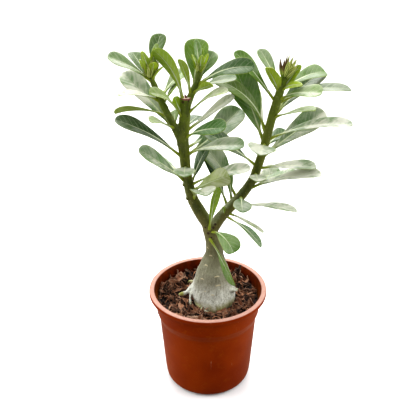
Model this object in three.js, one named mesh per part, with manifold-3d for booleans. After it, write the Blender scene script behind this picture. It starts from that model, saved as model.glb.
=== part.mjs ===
import * as THREE from "three";
import { mergeVertices } from "three/addons/utils/BufferGeometryUtils.js";
import Module from "manifold-3d";

const wasm = await Module();
wasm.setup();

// Millimetres, +Z up, the pot's axis on Z and its base on z = 0
const RIM_RADIUS = 60;
const POT_HEIGHT = 108.5;
const WALL = 1.3;
const GAP = 0.3;
const SEED = 4821;

// Pot, a moulded 12 cm grow pot with a collar and an overhanging rim
const POT = {
  baseFlat: 36,
  cornerHeight: 9,
  bodyBottom: 45,
  bodyTop: 48.8,
  bodyTopHeight: 78,
  collarBottom: 51.8,
  collarBottomHeight: 85,
  collarTop: 52.3,
  rimSkirt: 4.2,
  rimThickness: 1.3,
  rimInner: 55.4,
  floor: 2.4,
  sides: 48,
};
const DRAIN = { count: 4, holeRadius: 4.5, ringRadius: 27, channelWidth: 10, channelDepth: 1.2, channelStart: 18 };

// Potting mix, filled to about 14 mm below the rim and strewn with bark chips
const MIX = { level: 94, roughness: 1.6, sides: 30, wallSides: 36, topRings: [22, 31, 40, 47], chips: 30 };
const CHIP = { length: [8, 18], width: [4, 8], thick: [2, 4], inner: 28, outer: 46 };

// Swollen trunk: height, middle in x, half width, depth as a share of the width
const TRUNK_RINGS = [
  [70, 4, 6, 1],
  [79, 3.5, 14, 0.95],
  [88, 3, 21.5, 0.9],
  [95, 2.8, 25, 0.88],
  [101, 2.8, 24.8, 0.88],
  [109, 3.2, 22.8, 0.9],
  [117, 3.7, 19.8, 0.92],
  [125, 4.9, 17.6, 0.94],
  [132, 5.4, 15.4, 0.95],
  [139, 5.5, 12.4, 0.97],
  [148, 6.6, 9.4, 1],
  [160, 6.3, 8.1, 1],
  [171, 3.4, 7.4, 1],
  [180, 2.4, 8, 0.9],
  [185, 2, 5, 0.9],
];
const TRUNK_SIDES = 15;
const TRUNK_LOBES = { count: 5, depth: 0.05, turn: 0.6 };

// Roots as x, y, z, radius
const ROOTS = [
  [[-14, -2, 108, 5], [-22, -4, 104.5, 3.6], [-28, -6, 99, 2.6], [-30.5, -7, 92, 2], [-30, -7, 84, 1.6]],
  [[18, -8, 106, 4], [25, -11, 100.5, 2.8], [29, -13, 95, 2], [30, -14, 88, 1.5]],
  [[10, 14, 104, 6], [14, 24, 99, 3.8], [17, 31, 93, 2.4], [18, 34, 85, 1.6]],
  [[-10, 13, 104, 5], [-17, 21, 98, 3.2], [-20, 26, 92, 2.2], [-21, 28, 85, 1.5]],
];

// Stems as x, y, z, radius, from the fork upwards
const STEM_ROUTES = {
  left_stem: [
    [2.5, 0, 179.2, 6.6],
    [-7.9, -1, 196.4, 6],
    [-14.9, -2, 212.5, 5.2],
    [-18.6, -2, 229.8, 4.8],
    [-20.6, -3, 246.7, 4.8],
    [-21.8, -3, 263.3, 5.2],
    [-22.4, -4, 273.1, 5.8],
    [-20.2, -3, 293, 4.9],
    [-19.2, -3, 309.9, 5.1],
  ],
  left_shoot: [
    [-22.4, -4, 268, 4],
    [-26.1, -5, 276.2, 3.9],
    [-32.5, -6, 290.3, 3.3],
    [-38, -8, 302.7, 3.1],
    [-42.7, -9, 314.7, 3],
    [-45.3, -10, 322.2, 2.7],
    [-47.3, -11, 328.2, 2.4],
    [-48.8, -12, 334.5, 2],
  ],
  middle_shoot: [
    [-20, -3, 296, 3.3],
    [-15.5, 0, 308.8, 3.3],
    [-9.9, 2, 320.8, 3],
    [-8.4, 3, 326.7, 2.8],
    [-6.9, 4, 332.5, 2.4],
    [-5.9, 4, 338, 2],
  ],
  right_stem: [
    [2.5, 0, 175, 6],
    [6.5, 0, 180.1, 6],
    [14.5, 2, 191.1, 5.4],
    [24, 3, 201.8, 5],
    [33.2, 4, 212.5, 4.8],
    [42.3, 5, 226.4, 4.3],
    [46.6, 6, 238.3, 4.3],
    [51.3, 7, 255, 4.1],
    [54.6, 8, 269.7, 4.1],
    [58.4, 8, 287.2, 4.1],
    [62.1, 9, 301.1, 4.1],
    [65.2, 10, 313.3, 3.8],
    [67, 10, 320.8, 3.5],
    [68.9, 10, 326.7, 3],
    [70.4, 10, 332.5, 2.6],
  ],
};

const STEM_SIDES = 7;
const STEM_STEP = 9;

// Where the grey bark of the trunk ends on each arm, in mm along the arm's route
const ARM_ENDS = { left_stem: 22, right_stem: 13 };

// Where the young head of each shoot begins, in mm along the shoot's route
const HEAD_STARTS = { left_shoot: 69, middle_shoot: 39, right_stem: 160 };

// Leaves as mm along the stem, compass turn, rise, droop over its length, length, width, roll
const LEAVES = {
  left_stem: [
    [29, -65, 62, 80, 44, 20, 10],
    [45, -35, 36, 10, 48, 18, -80],
    [51, -15, 34, 18, 61, 15, 25],
    [51, 30, 68, 14, 38, 14, 10],
    [54, -150, 48, 12, 62, 18, -40],
    [60, 140, 16, 18, 52, 13, 0],
    [70, -90, 24, 26, 39, 19, 0],
    [80, -165, 46, 22, 72, 18, -25],
    [80, 40, 18, -14, 73, 24, 25],
    [83, -20, 28, 24, 57, 17, 25],
    [87, 55, 2, -6, 79, 18, 25],
    [100, -40, 34, 22, 50, 18, 35],
    [105, 10, 38, 6, 53, 11, 30],
    [107, 65, 10, 8, 28, 11, 0],
    [118, -140, 64, 48, 47, 17, -35],
    [121, -150, 60, -14, 19, 9, -75],
    [122, -20, 50, 34, 45, 13, 15],
    [130, -140, 86, 46, 61, 16, 45],
  ],
  left_shoot: [
    [13, 155, 48, 12, 70, 25, -25],
    [17, -115, 34, 18, 44, 13, -20],
    [17, 90, 42, 10, 18, 9, -25],
    [22, 125, 22, 20, 72, 18, -15],
    [29, 175, 24, 46, 48, 14, 35],
    [43, 35, 50, 16, 22, 9, -10],
    [45, -160, 38, 44, 36, 14, -15],
    [48, 50, 40, 26, 38, 14, -10],
    [62, 125, 32, 6, 40, 15, 5],
    [65, -155, 42, 16, 44, 15, -30],
  ],
  middle_shoot: [
    [18, -130, 78, 18, 36, 9, 10],
    [19, -45, 38, 20, 26, 9, -45],
    [21, -10, 32, 26, 39, 15, 15],
    [22, 85, 36, 16, 53, 15, -15],
    [22, 80, 68, 4, 44, 21, 0],
    [26, -20, 42, 40, 57, 15, 20],
    [30, 40, 54, 4, 29, 15, 25],
  ],
  right_stem: [
    [19, 10, -30, 24, 55, 13, 20],
    [21, -85, 76, 10, 12, 4, 135],
    [24, -35, -8, 14, 41, 9, 5],
    [30, 130, 62, 18, 62, 18, 5],
    [33, -15, 14, 24, 61, 14, 0],
    [37, 145, 82, 8, 33, 10, -10],
    [42, 115, 32, 18, 61, 15, 5],
    [43, 140, 58, 22, 58, 22, -15],
    [46, -90, 18, 28, 37, 17, -5],
    [53, 30, 18, 26, 64, 13, 0],
    [56, -15, 32, 28, 71, 17, 15],
    [59, 45, 8, 18, 47, 20, 25],
    [73, -90, 24, 24, 33, 16, 0],
    [79, -15, 14, 14, 53, 17, 10],
    [81, -175, 46, 22, 60, 17, -30],
    [90, 20, 34, 6, 72, 22, 35],
    [91, 45, 18, 16, 79, 18, 20],
    [99, 55, 12, 12, 41, 15, 10],
    [103, -100, 20, 22, 42, 24, -10],
    [105, 150, 68, 6, 69, 26, -45],
    [108, -10, 30, 32, 78, 17, 15],
    [111, 110, 42, 14, 63, 18, -5],
    [115, 178, 76, 62, 73, 15, -40],
    [130, -40, 30, 20, 45, 13, 10],
    [130, 35, 38, 16, 67, 22, 20],
    [134, 55, 20, 22, 78, 17, 20],
    [143, 5, 30, 42, 68, 14, 10],
    [145, 175, 56, 14, 57, 16, -30],
    [147, -40, 34, 32, 45, 16, 25],
    [155, 30, 28, 34, 50, 18, 20],
    [156, 125, 54, 18, 42, 13, -5],
  ],
};

// Young leaves of each head, in the same terms
const HEAD_LEAVES = {
  left_shoot: [
    [71, -125, 74, 8, 25, 11, -95],
    [71, -60, 64, 14, 20, 11, 0],
    [72, 35, 98, 44, 27, 9, -60],
    [72, 20, 80, 6, 24, 9, 35],
    [71, 65, 60, 6, 36, 15, 0],
  ],
  middle_shoot: [
    [40.5, 125, 80, 4, 20, 8, -5],
    [41, -70, 70, 10, 16, 8, 130],
  ],
  right_stem: [
    [162, -155, 70, 22, 27, 14, 30],
    [162, -45, 36, 20, 26, 11, 30],
  ],
};

// Buds of each head: how many, how long, how far they spread
const HEAD_BUDS = {
  left_shoot: { count: 6, length: 11, spread: 26 },
  middle_shoot: { count: 5, length: 13, spread: 20 },
  right_stem: { count: 13, length: 19, spread: 30 },
};

// Three leaves that grow straight from the fork: foot on the bark, then as above from turn on
const FORK_LEAVES = {
  fork_leaf_upright: [[3.5, -7, 178], -65, 82, 8, 47, 13, 125],
  fork_leaf_round: [[5, -7, 173.5], -50, 18, 62, 33, 19, 5],
  fork_leaf_hanging: [[4, -7, 168.5], -42, -42, 14, 54, 9, -80],
};

// Leaf section, in mm and as shares of the length
const LEAF = {
  stations: [0, 0.1, 0.3, 0.52, 0.74, 0.9, 0.97, 1],
  petiole: 0.1,
  petioleHalf: 1.1,
  petioleThick: 2,
  midThick: 1.3,
  edgeThick: 0.65,
  tipHalf: 0.45,
  cup: Math.tan(THREE.MathUtils.degToRad(17)),
  fullest: 0.59,
  rootShare: 0.55,
};

const UP = new THREE.Vector3(0, 0, 1);
const rad = THREE.MathUtils.degToRad;

let seedState = SEED;
function draw(low = 0, high = 1) {
  seedState = (seedState * 1664525 + 1013904223) % 4294967296;
  return low + (high - low) * (seedState / 4294967296);
}

// Closed skin over rings that all have the same number of points
function loft(rings, mirrored = new Set()) {
  const count = rings[0].length;
  const points = rings.flat();
  const first = points.length;
  const middle = (ring) => ring.reduce((sum, p) => sum.add(p), new THREE.Vector3()).divideScalar(count);
  points.push(middle(rings[0]), middle(rings[rings.length - 1]));
  const index = [];
  const lastRing = (rings.length - 1) * count;
  for (let j = 0; j < count; j += 1) {
    const next = (j + 1) % count;
    for (let i = 0; i + 1 < rings.length; i += 1) {
      const a = i * count + j;
      const b = i * count + next;
      const c = (i + 1) * count + next;
      const d = (i + 1) * count + j;
      if (mirrored.has(j)) {
        index.push(a, b, d, b, c, d);
      } else {
        index.push(a, b, c, a, c, d);
      }
    }
    index.push(first, next, j, first + 1, lastRing + j, lastRing + next);
  }
  const geometry = new THREE.BufferGeometry();
  geometry.setAttribute("position", new THREE.Float32BufferAttribute(points.flatMap((p) => p.toArray()), 3));
  geometry.setIndex(index);
  return geometry;
}

function solid(geometry) {
  const bare = geometry.clone();
  bare.deleteAttribute("normal");
  bare.deleteAttribute("uv");
  const merged = mergeVertices(bare, 1e-4);
  const mesh = new wasm.Mesh({
    numProp: 3,
    vertProperties: new Float32Array(merged.attributes.position.array),
    triVerts: new Uint32Array(merged.index.array),
  });
  return new wasm.Manifold(mesh);
}

function fuse(pieces) {
  return pieces.reduce((sum, piece) => sum.add(piece));
}

function meshOf(manifold, name, colour, roughness) {
  const data = manifold.getMesh();
  const geometry = new THREE.BufferGeometry();
  geometry.setAttribute("position", new THREE.Float32BufferAttribute(data.vertProperties, 3));
  geometry.setIndex(Array.from(data.triVerts));
  geometry.computeVertexNormals();
  const material = new THREE.MeshStandardMaterial({ color: colour, roughness, metalness: 0 });
  const mesh = new THREE.Mesh(geometry, material);
  mesh.name = name;
  return mesh;
}

function circleRing(centre, across, along, radiusAcross, radiusAlong, sides, radiusAt = () => 1) {
  return Array.from({ length: sides }, (_, k) => {
    const angle = (2 * Math.PI * k) / sides;
    const swell = radiusAt(angle);
    return centre
      .clone()
      .addScaledVector(across, Math.cos(angle) * radiusAcross * swell)
      .addScaledVector(along, Math.sin(angle) * radiusAlong * swell);
  });
}

function routeOf(rows) {
  const points = rows.map(([x, y, z]) => new THREE.Vector3(x, y, z));
  const curve = new THREE.CatmullRomCurve3(points, false, "catmullrom", 0.5);
  curve.arcLengthDivisions = 400;
  const length = curve.getLength();
  const share = (at) => THREE.MathUtils.clamp(at / length, 0, 1);
  const radius = (at) => {
    const place = curve.getUtoTmapping(share(at)) * (rows.length - 1);
    const row = Math.min(Math.floor(place), rows.length - 2);
    return THREE.MathUtils.lerp(rows[row][3], rows[row + 1][3], place - row);
  };
  const point = (at) => curve.getPointAt(share(at));
  const tangent = (at) => curve.getTangentAt(share(at));
  return { length, radius, point, tangent };
}

// Round bar along a route from one distance to another, grown by a margin
function bar(route, from, to, sides, step, grow = 0) {
  const count = Math.max(1, Math.round((to - from) / step));
  let across = new THREE.Vector3(0, 1, 0);
  const rings = [];
  for (let k = 0; k <= count; k += 1) {
    const at = from + ((to - from) * k) / count;
    const tangent = route.tangent(at);
    across = across.clone().addScaledVector(tangent, -across.dot(tangent)).normalize();
    const along = tangent.clone().cross(across);
    const radius = route.radius(at) + grow;
    rings.push(circleRing(route.point(at), across, along, radius, radius, sides));
  }
  return solid(loft(rings));
}

// Half the blade's width at a share of its length, widest near three quarters
function bladeHalf(share, width) {
  if (share < LEAF.petiole) {
    return LEAF.petioleHalf;
  }
  const u = (share - LEAF.petiole) / (1 - LEAF.petiole);
  const form = (u ** 1.15 * Math.sqrt(Math.max(0, 1 - u ** 4))) / LEAF.fullest;
  return Math.max(LEAF.petioleHalf * (1 - u), LEAF.tipHalf, (width / 2) * form);
}

// One leaf as a folded, drooping blade on a short stalk
function leaf(foot, [turn, rise, droop, length, width, roll]) {
  const heading = new THREE.Vector3(Math.cos(rad(turn)), Math.sin(rad(turn)), 0);
  const place = foot.clone();
  const steps = 60;
  const rings = [];
  const directionAt = (share) => {
    const pitch = rad(rise - droop * share);
    return heading.clone().multiplyScalar(Math.cos(pitch)).addScaledVector(UP, Math.sin(pitch));
  };
  let done = 0;
  for (const share of LEAF.stations) {
    for (; done < Math.round(share * steps); done += 1) {
      place.addScaledVector(directionAt((done + 0.5) / steps), length / steps);
    }
    const direction = directionAt(share);
    const pitch = rad(rise - droop * share);
    const flat = heading.clone().multiplyScalar(-Math.sin(pitch)).addScaledVector(UP, Math.cos(pitch));
    const normal = flat.applyAxisAngle(direction, rad(roll)).normalize();
    const side = direction.clone().cross(normal);
    const half = bladeHalf(share, width);
    const lift = half > LEAF.petioleHalf ? (half - LEAF.petioleHalf) * LEAF.cup : 0;
    const onStalk = share <= LEAF.petiole;
    const mid = (onStalk ? LEAF.petioleThick : LEAF.midThick) / 2;
    const edge = (onStalk ? LEAF.petioleThick / 2 : LEAF.edgeThick) / 2;
    const at = (across, up) => place.clone().addScaledVector(side, across).addScaledVector(normal, up);
    rings.push([
      at(-half, lift + edge),
      at(0, mid),
      at(half, lift + edge),
      at(half, lift - edge),
      at(0, -mid),
      at(-half, lift - edge),
    ]);
  }
  return solid(loft(rings, new Set([3, 4])));
}

// Leaf whose stalk starts inside the stem, a little off its middle on the leaf's side
function leafOn(route, [at, ...form]) {
  const out = route.radius(at) * LEAF.rootShare;
  const foot = route.point(at);
  foot.x += Math.cos(rad(form[0])) * out;
  foot.y += Math.sin(rad(form[0])) * out;
  return leaf(foot, form);
}

function bud(foot, direction, length, radius) {
  const across = new THREE.Vector3(1, 0, 0).cross(direction).normalize();
  const along = direction.clone().cross(across);
  const form = [[0, 0.7], [0.35, 1], [0.75, 0.7], [1, 0.25]];
  const rings = form.map(([share, size]) => {
    const centre = foot.clone().addScaledVector(direction, length * share);
    return circleRing(centre, across, along, radius * size, radius * size, 4);
  });
  return solid(loft(rings));
}

function buildPot() {
  const rimTop = POT_HEIGHT;
  const skirtFoot = POT_HEIGHT - POT.rimSkirt;
  const underRim = POT_HEIGHT - POT.rimThickness;
  const profile = [
    [0, 0],
    [POT.baseFlat, 0],
    [POT.baseFlat + 5, 1.4],
    [POT.bodyBottom - 0.9, 5],
    [POT.bodyBottom, POT.cornerHeight],
    [POT.bodyTop, POT.bodyTopHeight],
    [POT.collarBottom, POT.collarBottomHeight],
    [POT.collarTop, underRim],
    [RIM_RADIUS - POT.rimThickness, underRim],
    [RIM_RADIUS - POT.rimThickness, skirtFoot],
    [RIM_RADIUS, skirtFoot],
    [RIM_RADIUS, rimTop - 0.8],
    [RIM_RADIUS - 0.8, rimTop],
    [POT.rimInner, rimTop],
    [POT.rimInner - 2.4, rimTop - 1],
    [POT.collarTop - WALL, rimTop - 4],
    [POT.collarBottom - WALL, POT.collarBottomHeight],
    [POT.bodyTop - WALL, POT.bodyTopHeight],
    [POT.bodyBottom - WALL, POT.cornerHeight],
    [POT.bodyBottom - WALL - 1.6, POT.floor + 2.2],
    [POT.baseFlat + 2, POT.floor],
    [0, POT.floor],
  ].map(([r, z]) => new THREE.Vector2(r, z));
  const shell = new THREE.LatheGeometry(profile, POT.sides).rotateX(Math.PI / 2);
  let pot = solid(shell);
  for (let k = 0; k < DRAIN.count; k += 1) {
    const angle = ((k + 0.5) * 2 * Math.PI) / DRAIN.count;
    const hole = new THREE.CylinderGeometry(DRAIN.holeRadius, DRAIN.holeRadius, 12, 14).rotateX(Math.PI / 2);
    hole.translate(DRAIN.ringRadius, 0, 0).rotateZ(angle);
    const reach = POT.bodyBottom - DRAIN.channelStart;
    const channel = new THREE.BoxGeometry(reach, DRAIN.channelWidth, DRAIN.channelDepth * 2);
    channel.translate(DRAIN.channelStart + reach / 2, 0, 0).rotateZ(angle);
    pot = pot.subtract(solid(hole)).subtract(solid(channel));
  }
  return pot;
}

// Room inside the pot, less a gap all round
function potRoom(top) {
  const profile = [
    [0, POT.floor + GAP],
    [POT.baseFlat + 1, POT.floor + GAP],
    [POT.bodyBottom - WALL - 2.2, POT.floor + 2.6],
    [POT.bodyBottom - WALL - GAP, POT.cornerHeight],
    [POT.bodyTop - WALL - GAP, POT.bodyTopHeight],
    [POT.collarBottom - WALL - GAP, POT.collarBottomHeight],
    [POT.collarBottom - WALL - GAP + 0.2, top],
    [0, top],
  ].map(([r, z]) => new THREE.Vector2(r, z));
  return solid(new THREE.LatheGeometry(profile, MIX.wallSides).rotateX(Math.PI / 2));
}

function buildMix(keepClear) {
  const room = potRoom(MIX.level + 8);
  const outer = POT.collarBottom + 4;
  const ringAt = (radius, z) =>
    Array.from({ length: MIX.sides }, (_, k) => {
      const angle = (2 * Math.PI * k) / MIX.sides;
      const height = typeof z === "number" ? z : MIX.level + draw(-MIX.roughness, MIX.roughness);
      return new THREE.Vector3(Math.cos(angle) * radius, Math.sin(angle) * radius, height);
    });
  const rings = [ringAt(outer, 0), ringAt(outer, MIX.level)];
  for (const radius of [...MIX.topRings].reverse()) {
    rings.push(ringAt(radius, null));
  }
  const pieces = [solid(loft(rings))];
  for (let k = 0; k < MIX.chips; k += 1) {
    const angle = (2 * Math.PI * (k + draw())) / MIX.chips;
    const radius = Math.sqrt(draw(CHIP.inner ** 2, CHIP.outer ** 2));
    const chip = new THREE.BoxGeometry(draw(...CHIP.length), draw(...CHIP.width), draw(...CHIP.thick));
    chip.rotateX(draw(-0.3, 0.3)).rotateY(draw(-0.35, 0.35)).rotateZ(draw(0, Math.PI));
    chip.translate(Math.cos(angle) * radius, Math.sin(angle) * radius, MIX.level + draw(-0.4, 1.6));
    pieces.push(solid(chip));
  }
  return fuse(pieces).intersect(room).subtract(keepClear);
}

// Swollen foot, neck and fork as one loft, with shallow lobes near the soil
function trunkLoft(grow = 0) {
  const rings = TRUNK_RINGS.map(([z, x, half, depth]) => {
    const lobes = TRUNK_LOBES.depth * THREE.MathUtils.clamp((150 - z) / 40, 0, 1);
    const swell = (angle) => 1 + lobes * Math.cos(TRUNK_LOBES.count * angle + TRUNK_LOBES.turn);
    const centre = new THREE.Vector3(x, 0, z - (z === TRUNK_RINGS[0][0] ? grow : 0));
    const across = new THREE.Vector3(1, 0, 0);
    const along = new THREE.Vector3(0, 1, 0);
    return circleRing(centre, across, along, half + grow, half * depth + grow, TRUNK_SIDES, swell);
  });
  return solid(loft(rings));
}

function rootsOf(grow = 0) {
  return ROOTS.map((rows) => {
    const route = routeOf(rows);
    return bar(route, 0, route.length, 6, 7, grow);
  });
}

const routes = Object.fromEntries(Object.entries(STEM_ROUTES).map(([name, rows]) => [name, routeOf(rows)]));

function buildTrunk(grow = 0) {
  const arms = Object.entries(ARM_ENDS).map(([name, end]) => bar(routes[name], 0, end + grow, 9, 6, grow));
  return fuse([trunkLoft(grow), ...rootsOf(grow), ...arms]);
}

function buildLeafyStem(name, from, to) {
  const wood = bar(routes[name], from, to, STEM_SIDES, STEM_STEP);
  return fuse([wood, ...LEAVES[name].map((row) => leafOn(routes[name], row))]);
}

function buildHead(name) {
  const route = routes[name];
  const start = HEAD_STARTS[name] + GAP;
  const top = route.point(route.length);
  const axis = route.tangent(route.length);
  const pieces = [bar(route, start, route.length, 6, 4)];
  pieces.push(...HEAD_LEAVES[name].map((row) => leafOn(route, row)));
  const { count, length, spread } = HEAD_BUDS[name];
  const side = new THREE.Vector3(0, 1, 0).cross(axis).normalize();
  for (let k = 0; k < count; k += 1) {
    const tilt = rad(spread * Math.sqrt((k + 0.3) / count));
    const around = k * Math.PI * (3 - Math.sqrt(5));
    const direction = axis.clone().applyAxisAngle(side, tilt).applyAxisAngle(axis, around);
    const foot = top.clone().addScaledVector(axis, -2.5);
    pieces.push(bud(foot, direction, length * draw(0.75, 1), draw(1.3, 1.9)));
  }
  return fuse(pieces);
}

const COLOURS = { pot: 0x8f3a18, mix: 0x4b2f22, bark: 0x8d8a7c, leaf: 0x4f7c46, young: 0x8fae2e };
const trunkRoom = buildTrunk(GAP);
const leftFoot = ARM_ENDS.left_stem + GAP;
const leftStemRoom = bar(routes.left_stem, leftFoot, routes.left_stem.length, STEM_SIDES, STEM_STEP, GAP);

const solids = {
  pot: [buildPot(), COLOURS.pot, 0.45],
  potting_mix: [buildMix(trunkRoom), COLOURS.mix, 0.95],
  trunk: [buildTrunk(), COLOURS.bark, 0.8],
  left_stem: [buildLeafyStem("left_stem", leftFoot, routes.left_stem.length - GAP), COLOURS.leaf, 0.4],
  left_shoot: [
    buildLeafyStem("left_shoot", 0, HEAD_STARTS.left_shoot).subtract(leftStemRoom),
    COLOURS.leaf,
    0.4,
  ],
  left_tip: [buildHead("left_shoot"), COLOURS.young, 0.45],
  middle_shoot: [
    buildLeafyStem("middle_shoot", 0, HEAD_STARTS.middle_shoot).subtract(leftStemRoom),
    COLOURS.leaf,
    0.4,
  ],
  middle_tip: [buildHead("middle_shoot"), COLOURS.young, 0.45],
  right_stem: [buildLeafyStem("right_stem", ARM_ENDS.right_stem + GAP, HEAD_STARTS.right_stem), COLOURS.leaf, 0.4],
  right_tip: [buildHead("right_stem"), COLOURS.young, 0.45],
};
for (const [name, [foot, ...form]] of Object.entries(FORK_LEAVES)) {
  solids[name] = [leaf(new THREE.Vector3(...foot), form).subtract(trunkRoom), COLOURS.leaf, 0.4];
}

const plant = new THREE.Group();
plant.name = "potted_desert_rose";
for (const [name, [manifold, colour, roughness]] of Object.entries(solids)) {
  plant.add(meshOf(manifold, name, colour, roughness));
}

export default plant;
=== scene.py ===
"""Looks of a potted desert rose: a moulded grow pot, bark mix, a swollen grey stem and glossy leaves."""

import logging
import math
from dataclasses import dataclass, field
from enum import Enum
from functools import partial
from typing import Callable, Sequence

import bmesh
import bpy
import numpy as np
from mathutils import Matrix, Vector, noise

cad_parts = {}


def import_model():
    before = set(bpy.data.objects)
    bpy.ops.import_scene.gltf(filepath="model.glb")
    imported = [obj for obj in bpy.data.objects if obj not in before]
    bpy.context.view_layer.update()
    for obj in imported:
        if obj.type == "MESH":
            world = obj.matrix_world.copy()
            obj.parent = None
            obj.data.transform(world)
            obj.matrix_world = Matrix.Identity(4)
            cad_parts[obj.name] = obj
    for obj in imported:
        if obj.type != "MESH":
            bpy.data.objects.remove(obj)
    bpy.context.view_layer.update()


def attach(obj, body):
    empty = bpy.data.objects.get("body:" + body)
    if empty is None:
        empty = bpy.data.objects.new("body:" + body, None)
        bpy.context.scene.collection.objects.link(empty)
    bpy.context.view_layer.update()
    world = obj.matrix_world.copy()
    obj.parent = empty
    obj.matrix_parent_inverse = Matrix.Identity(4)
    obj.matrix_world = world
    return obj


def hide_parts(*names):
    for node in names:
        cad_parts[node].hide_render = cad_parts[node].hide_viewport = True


log = logging.getLogger("desert_rose")

MM = 0.001
SEED = 4821


class Limb(Enum):
    """A woody limb of the plant, named as its CAD node is."""

    LEFT_STEM = "left_stem"
    LEFT_SHOOT = "left_shoot"
    MIDDLE_SHOOT = "middle_shoot"
    RIGHT_STEM = "right_stem"


def linear(code: str) -> tuple[float, float, float, float]:
    """Turns an sRGB hex colour to linear light.

    Args:
        code: Six hex digits, such as "8a3a08".

    Returns:
        Linear red, green, blue and an alpha of 1.
    """
    parts = [int(code[k : k + 2], 16) / 255 for k in (0, 2, 4)]
    light = [p / 12.92 if p <= 0.04045 else ((p + 0.055) / 1.055) ** 2.4 for p in parts]
    return (light[0], light[1], light[2], 1.0)


# Settings that many nodes share: a range with soft ends, a product, and a mix of colours with its output
SOFT = {"interpolation_type": "SMOOTHSTEP"}
TIMES = {"operation": "MULTIPLY"}
COLOURS = {"data_type": "RGBA", "output": 2}


def set_inputs(node: bpy.types.Node, inputs: Sequence | dict) -> None:
    """Gives a node's input sockets what goes into them.

    Args:
        node: The node.
        inputs: Sockets to link, numbers, rows of numbers or colours as hex digits, in the order of the
            node's input sockets, or by their names or numbers.
    """
    pairs = inputs.items() if isinstance(inputs, dict) else enumerate(inputs)
    for key, value in pairs:
        if isinstance(value, bpy.types.NodeSocket):
            node.id_data.links.new(value, node.inputs[key])
        else:
            node.inputs[key].default_value = linear(value) if isinstance(value, str) else value


def add_node(
    tree: bpy.types.NodeTree, kind: str, inputs: Sequence | dict = (), output: int | str = 0, **settings
) -> bpy.types.NodeSocket:
    """Adds one node with its settings and links.

    Args:
        tree: The node tree.
        kind: The node's type name after "ShaderNode", such as "Math".
        inputs: What goes into its input sockets, as set_inputs takes it.
        output: Number or name of the output socket that is wanted.
        **settings: The node's own properties.

    Returns:
        The output socket.
    """
    node = tree.nodes.new("ShaderNode" + kind)
    for name, value in settings.items():
        setattr(node, name, value)
    set_inputs(node, inputs)
    return node.outputs[output]


def new_material(
    name: str,
) -> tuple[bpy.types.Material, Callable[..., bpy.types.NodeSocket], bpy.types.Node]:
    """Starts a material.

    Args:
        name: The finish's name.

    Returns:
        The material, add_node for its tree, and its shader node.
    """
    material = bpy.data.materials.new(name)
    material.use_nodes = True
    tree = material.node_tree
    return material, partial(add_node, tree), tree.nodes["Principled BSDF"]


def scale_of(width_mm: float) -> float:
    """Returns the noise scale that gives blotches of this width, because one fills about half a cell."""
    return 1 / MM / width_mm / 2


def clear_selection() -> None:
    """Deselects everything and leaves edit mode."""
    if bpy.context.object is not None and bpy.context.object.mode != "OBJECT":
        bpy.ops.object.mode_set(mode="OBJECT")
    bpy.ops.object.select_all(action="DESELECT")


def pick(piece: bpy.types.Object) -> None:
    """Selects one object alone and makes it the active one.

    Args:
        piece: The object.
    """
    clear_selection()
    piece.select_set(True)
    bpy.context.view_layer.objects.active = piece


def apply_modifier(piece: bpy.types.Object, kind: str, settings: dict) -> None:
    """Adds a modifier to a piece and applies it.

    Args:
        piece: The object.
        kind: The modifier's type name.
        settings: Its properties by name.
    """
    pick(piece)
    modifier = piece.modifiers.new(kind.lower(), kind)
    for name, value in settings.items():
        setattr(modifier, name, value)
    bpy.ops.object.modifier_apply(modifier=modifier.name)


def points_of(mesh: bpy.types.Mesh) -> np.ndarray:
    """Reads the points of a mesh.

    Args:
        mesh: The mesh.

    Returns:
        Rows of x, y and z.
    """
    flat = np.empty(len(mesh.vertices) * 3)
    mesh.vertices.foreach_get("co", flat)
    return flat.reshape(-1, 3)


def set_points(mesh: bpy.types.Mesh, points: np.ndarray) -> None:
    """Moves the mesh's points.

    Args:
        mesh: The mesh.
        points: Rows of x, y and z.
    """
    mesh.vertices.foreach_set("co", np.asarray(points, float).ravel())
    mesh.update()


def set_vector(mesh: bpy.types.Mesh, name: str, rows: np.ndarray) -> None:
    """Stores three numbers on each point of a mesh.

    Args:
        mesh: The mesh.
        name: Name of the attribute.
        rows: Three numbers for each point.
    """
    layer = mesh.attributes.get(name) or mesh.attributes.new(name, "FLOAT_VECTOR", "POINT")
    layer.data.foreach_set("vector", np.asarray(rows, float).ravel())


def smooth_shaded(piece: bpy.types.Object, degrees: float = 180.0) -> None:
    """Shades a piece smooth except at edges sharper than an angle.

    Args:
        piece: The object.
        degrees: The angle.
    """
    pick(piece)
    bpy.ops.object.shade_smooth_by_angle(angle=math.radians(degrees))


def join(pieces: list[bpy.types.Object], name: str) -> bpy.types.Object:
    """Joins objects into one.

    Args:
        pieces: The objects.
        name: Name of the joined piece.

    Returns:
        The joined object.
    """
    clear_selection()
    for piece in pieces:
        piece.select_set(True)
    bpy.context.view_layer.objects.active = pieces[0]
    if len(pieces) > 1:
        bpy.ops.object.join()
    pieces[0].name = name
    pieces[0].data.name = name
    return pieces[0]


def copy_of(master: bpy.types.Object, name: str) -> bpy.types.Object:
    """Copies an object together with its mesh.

    Args:
        master: The object to copy.
        name: Name of the copy.

    Returns:
        The copy.
    """
    twin = master.copy()
    twin.data = master.data.copy()
    twin.name = name
    bpy.context.collection.objects.link(twin)
    return twin


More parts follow.
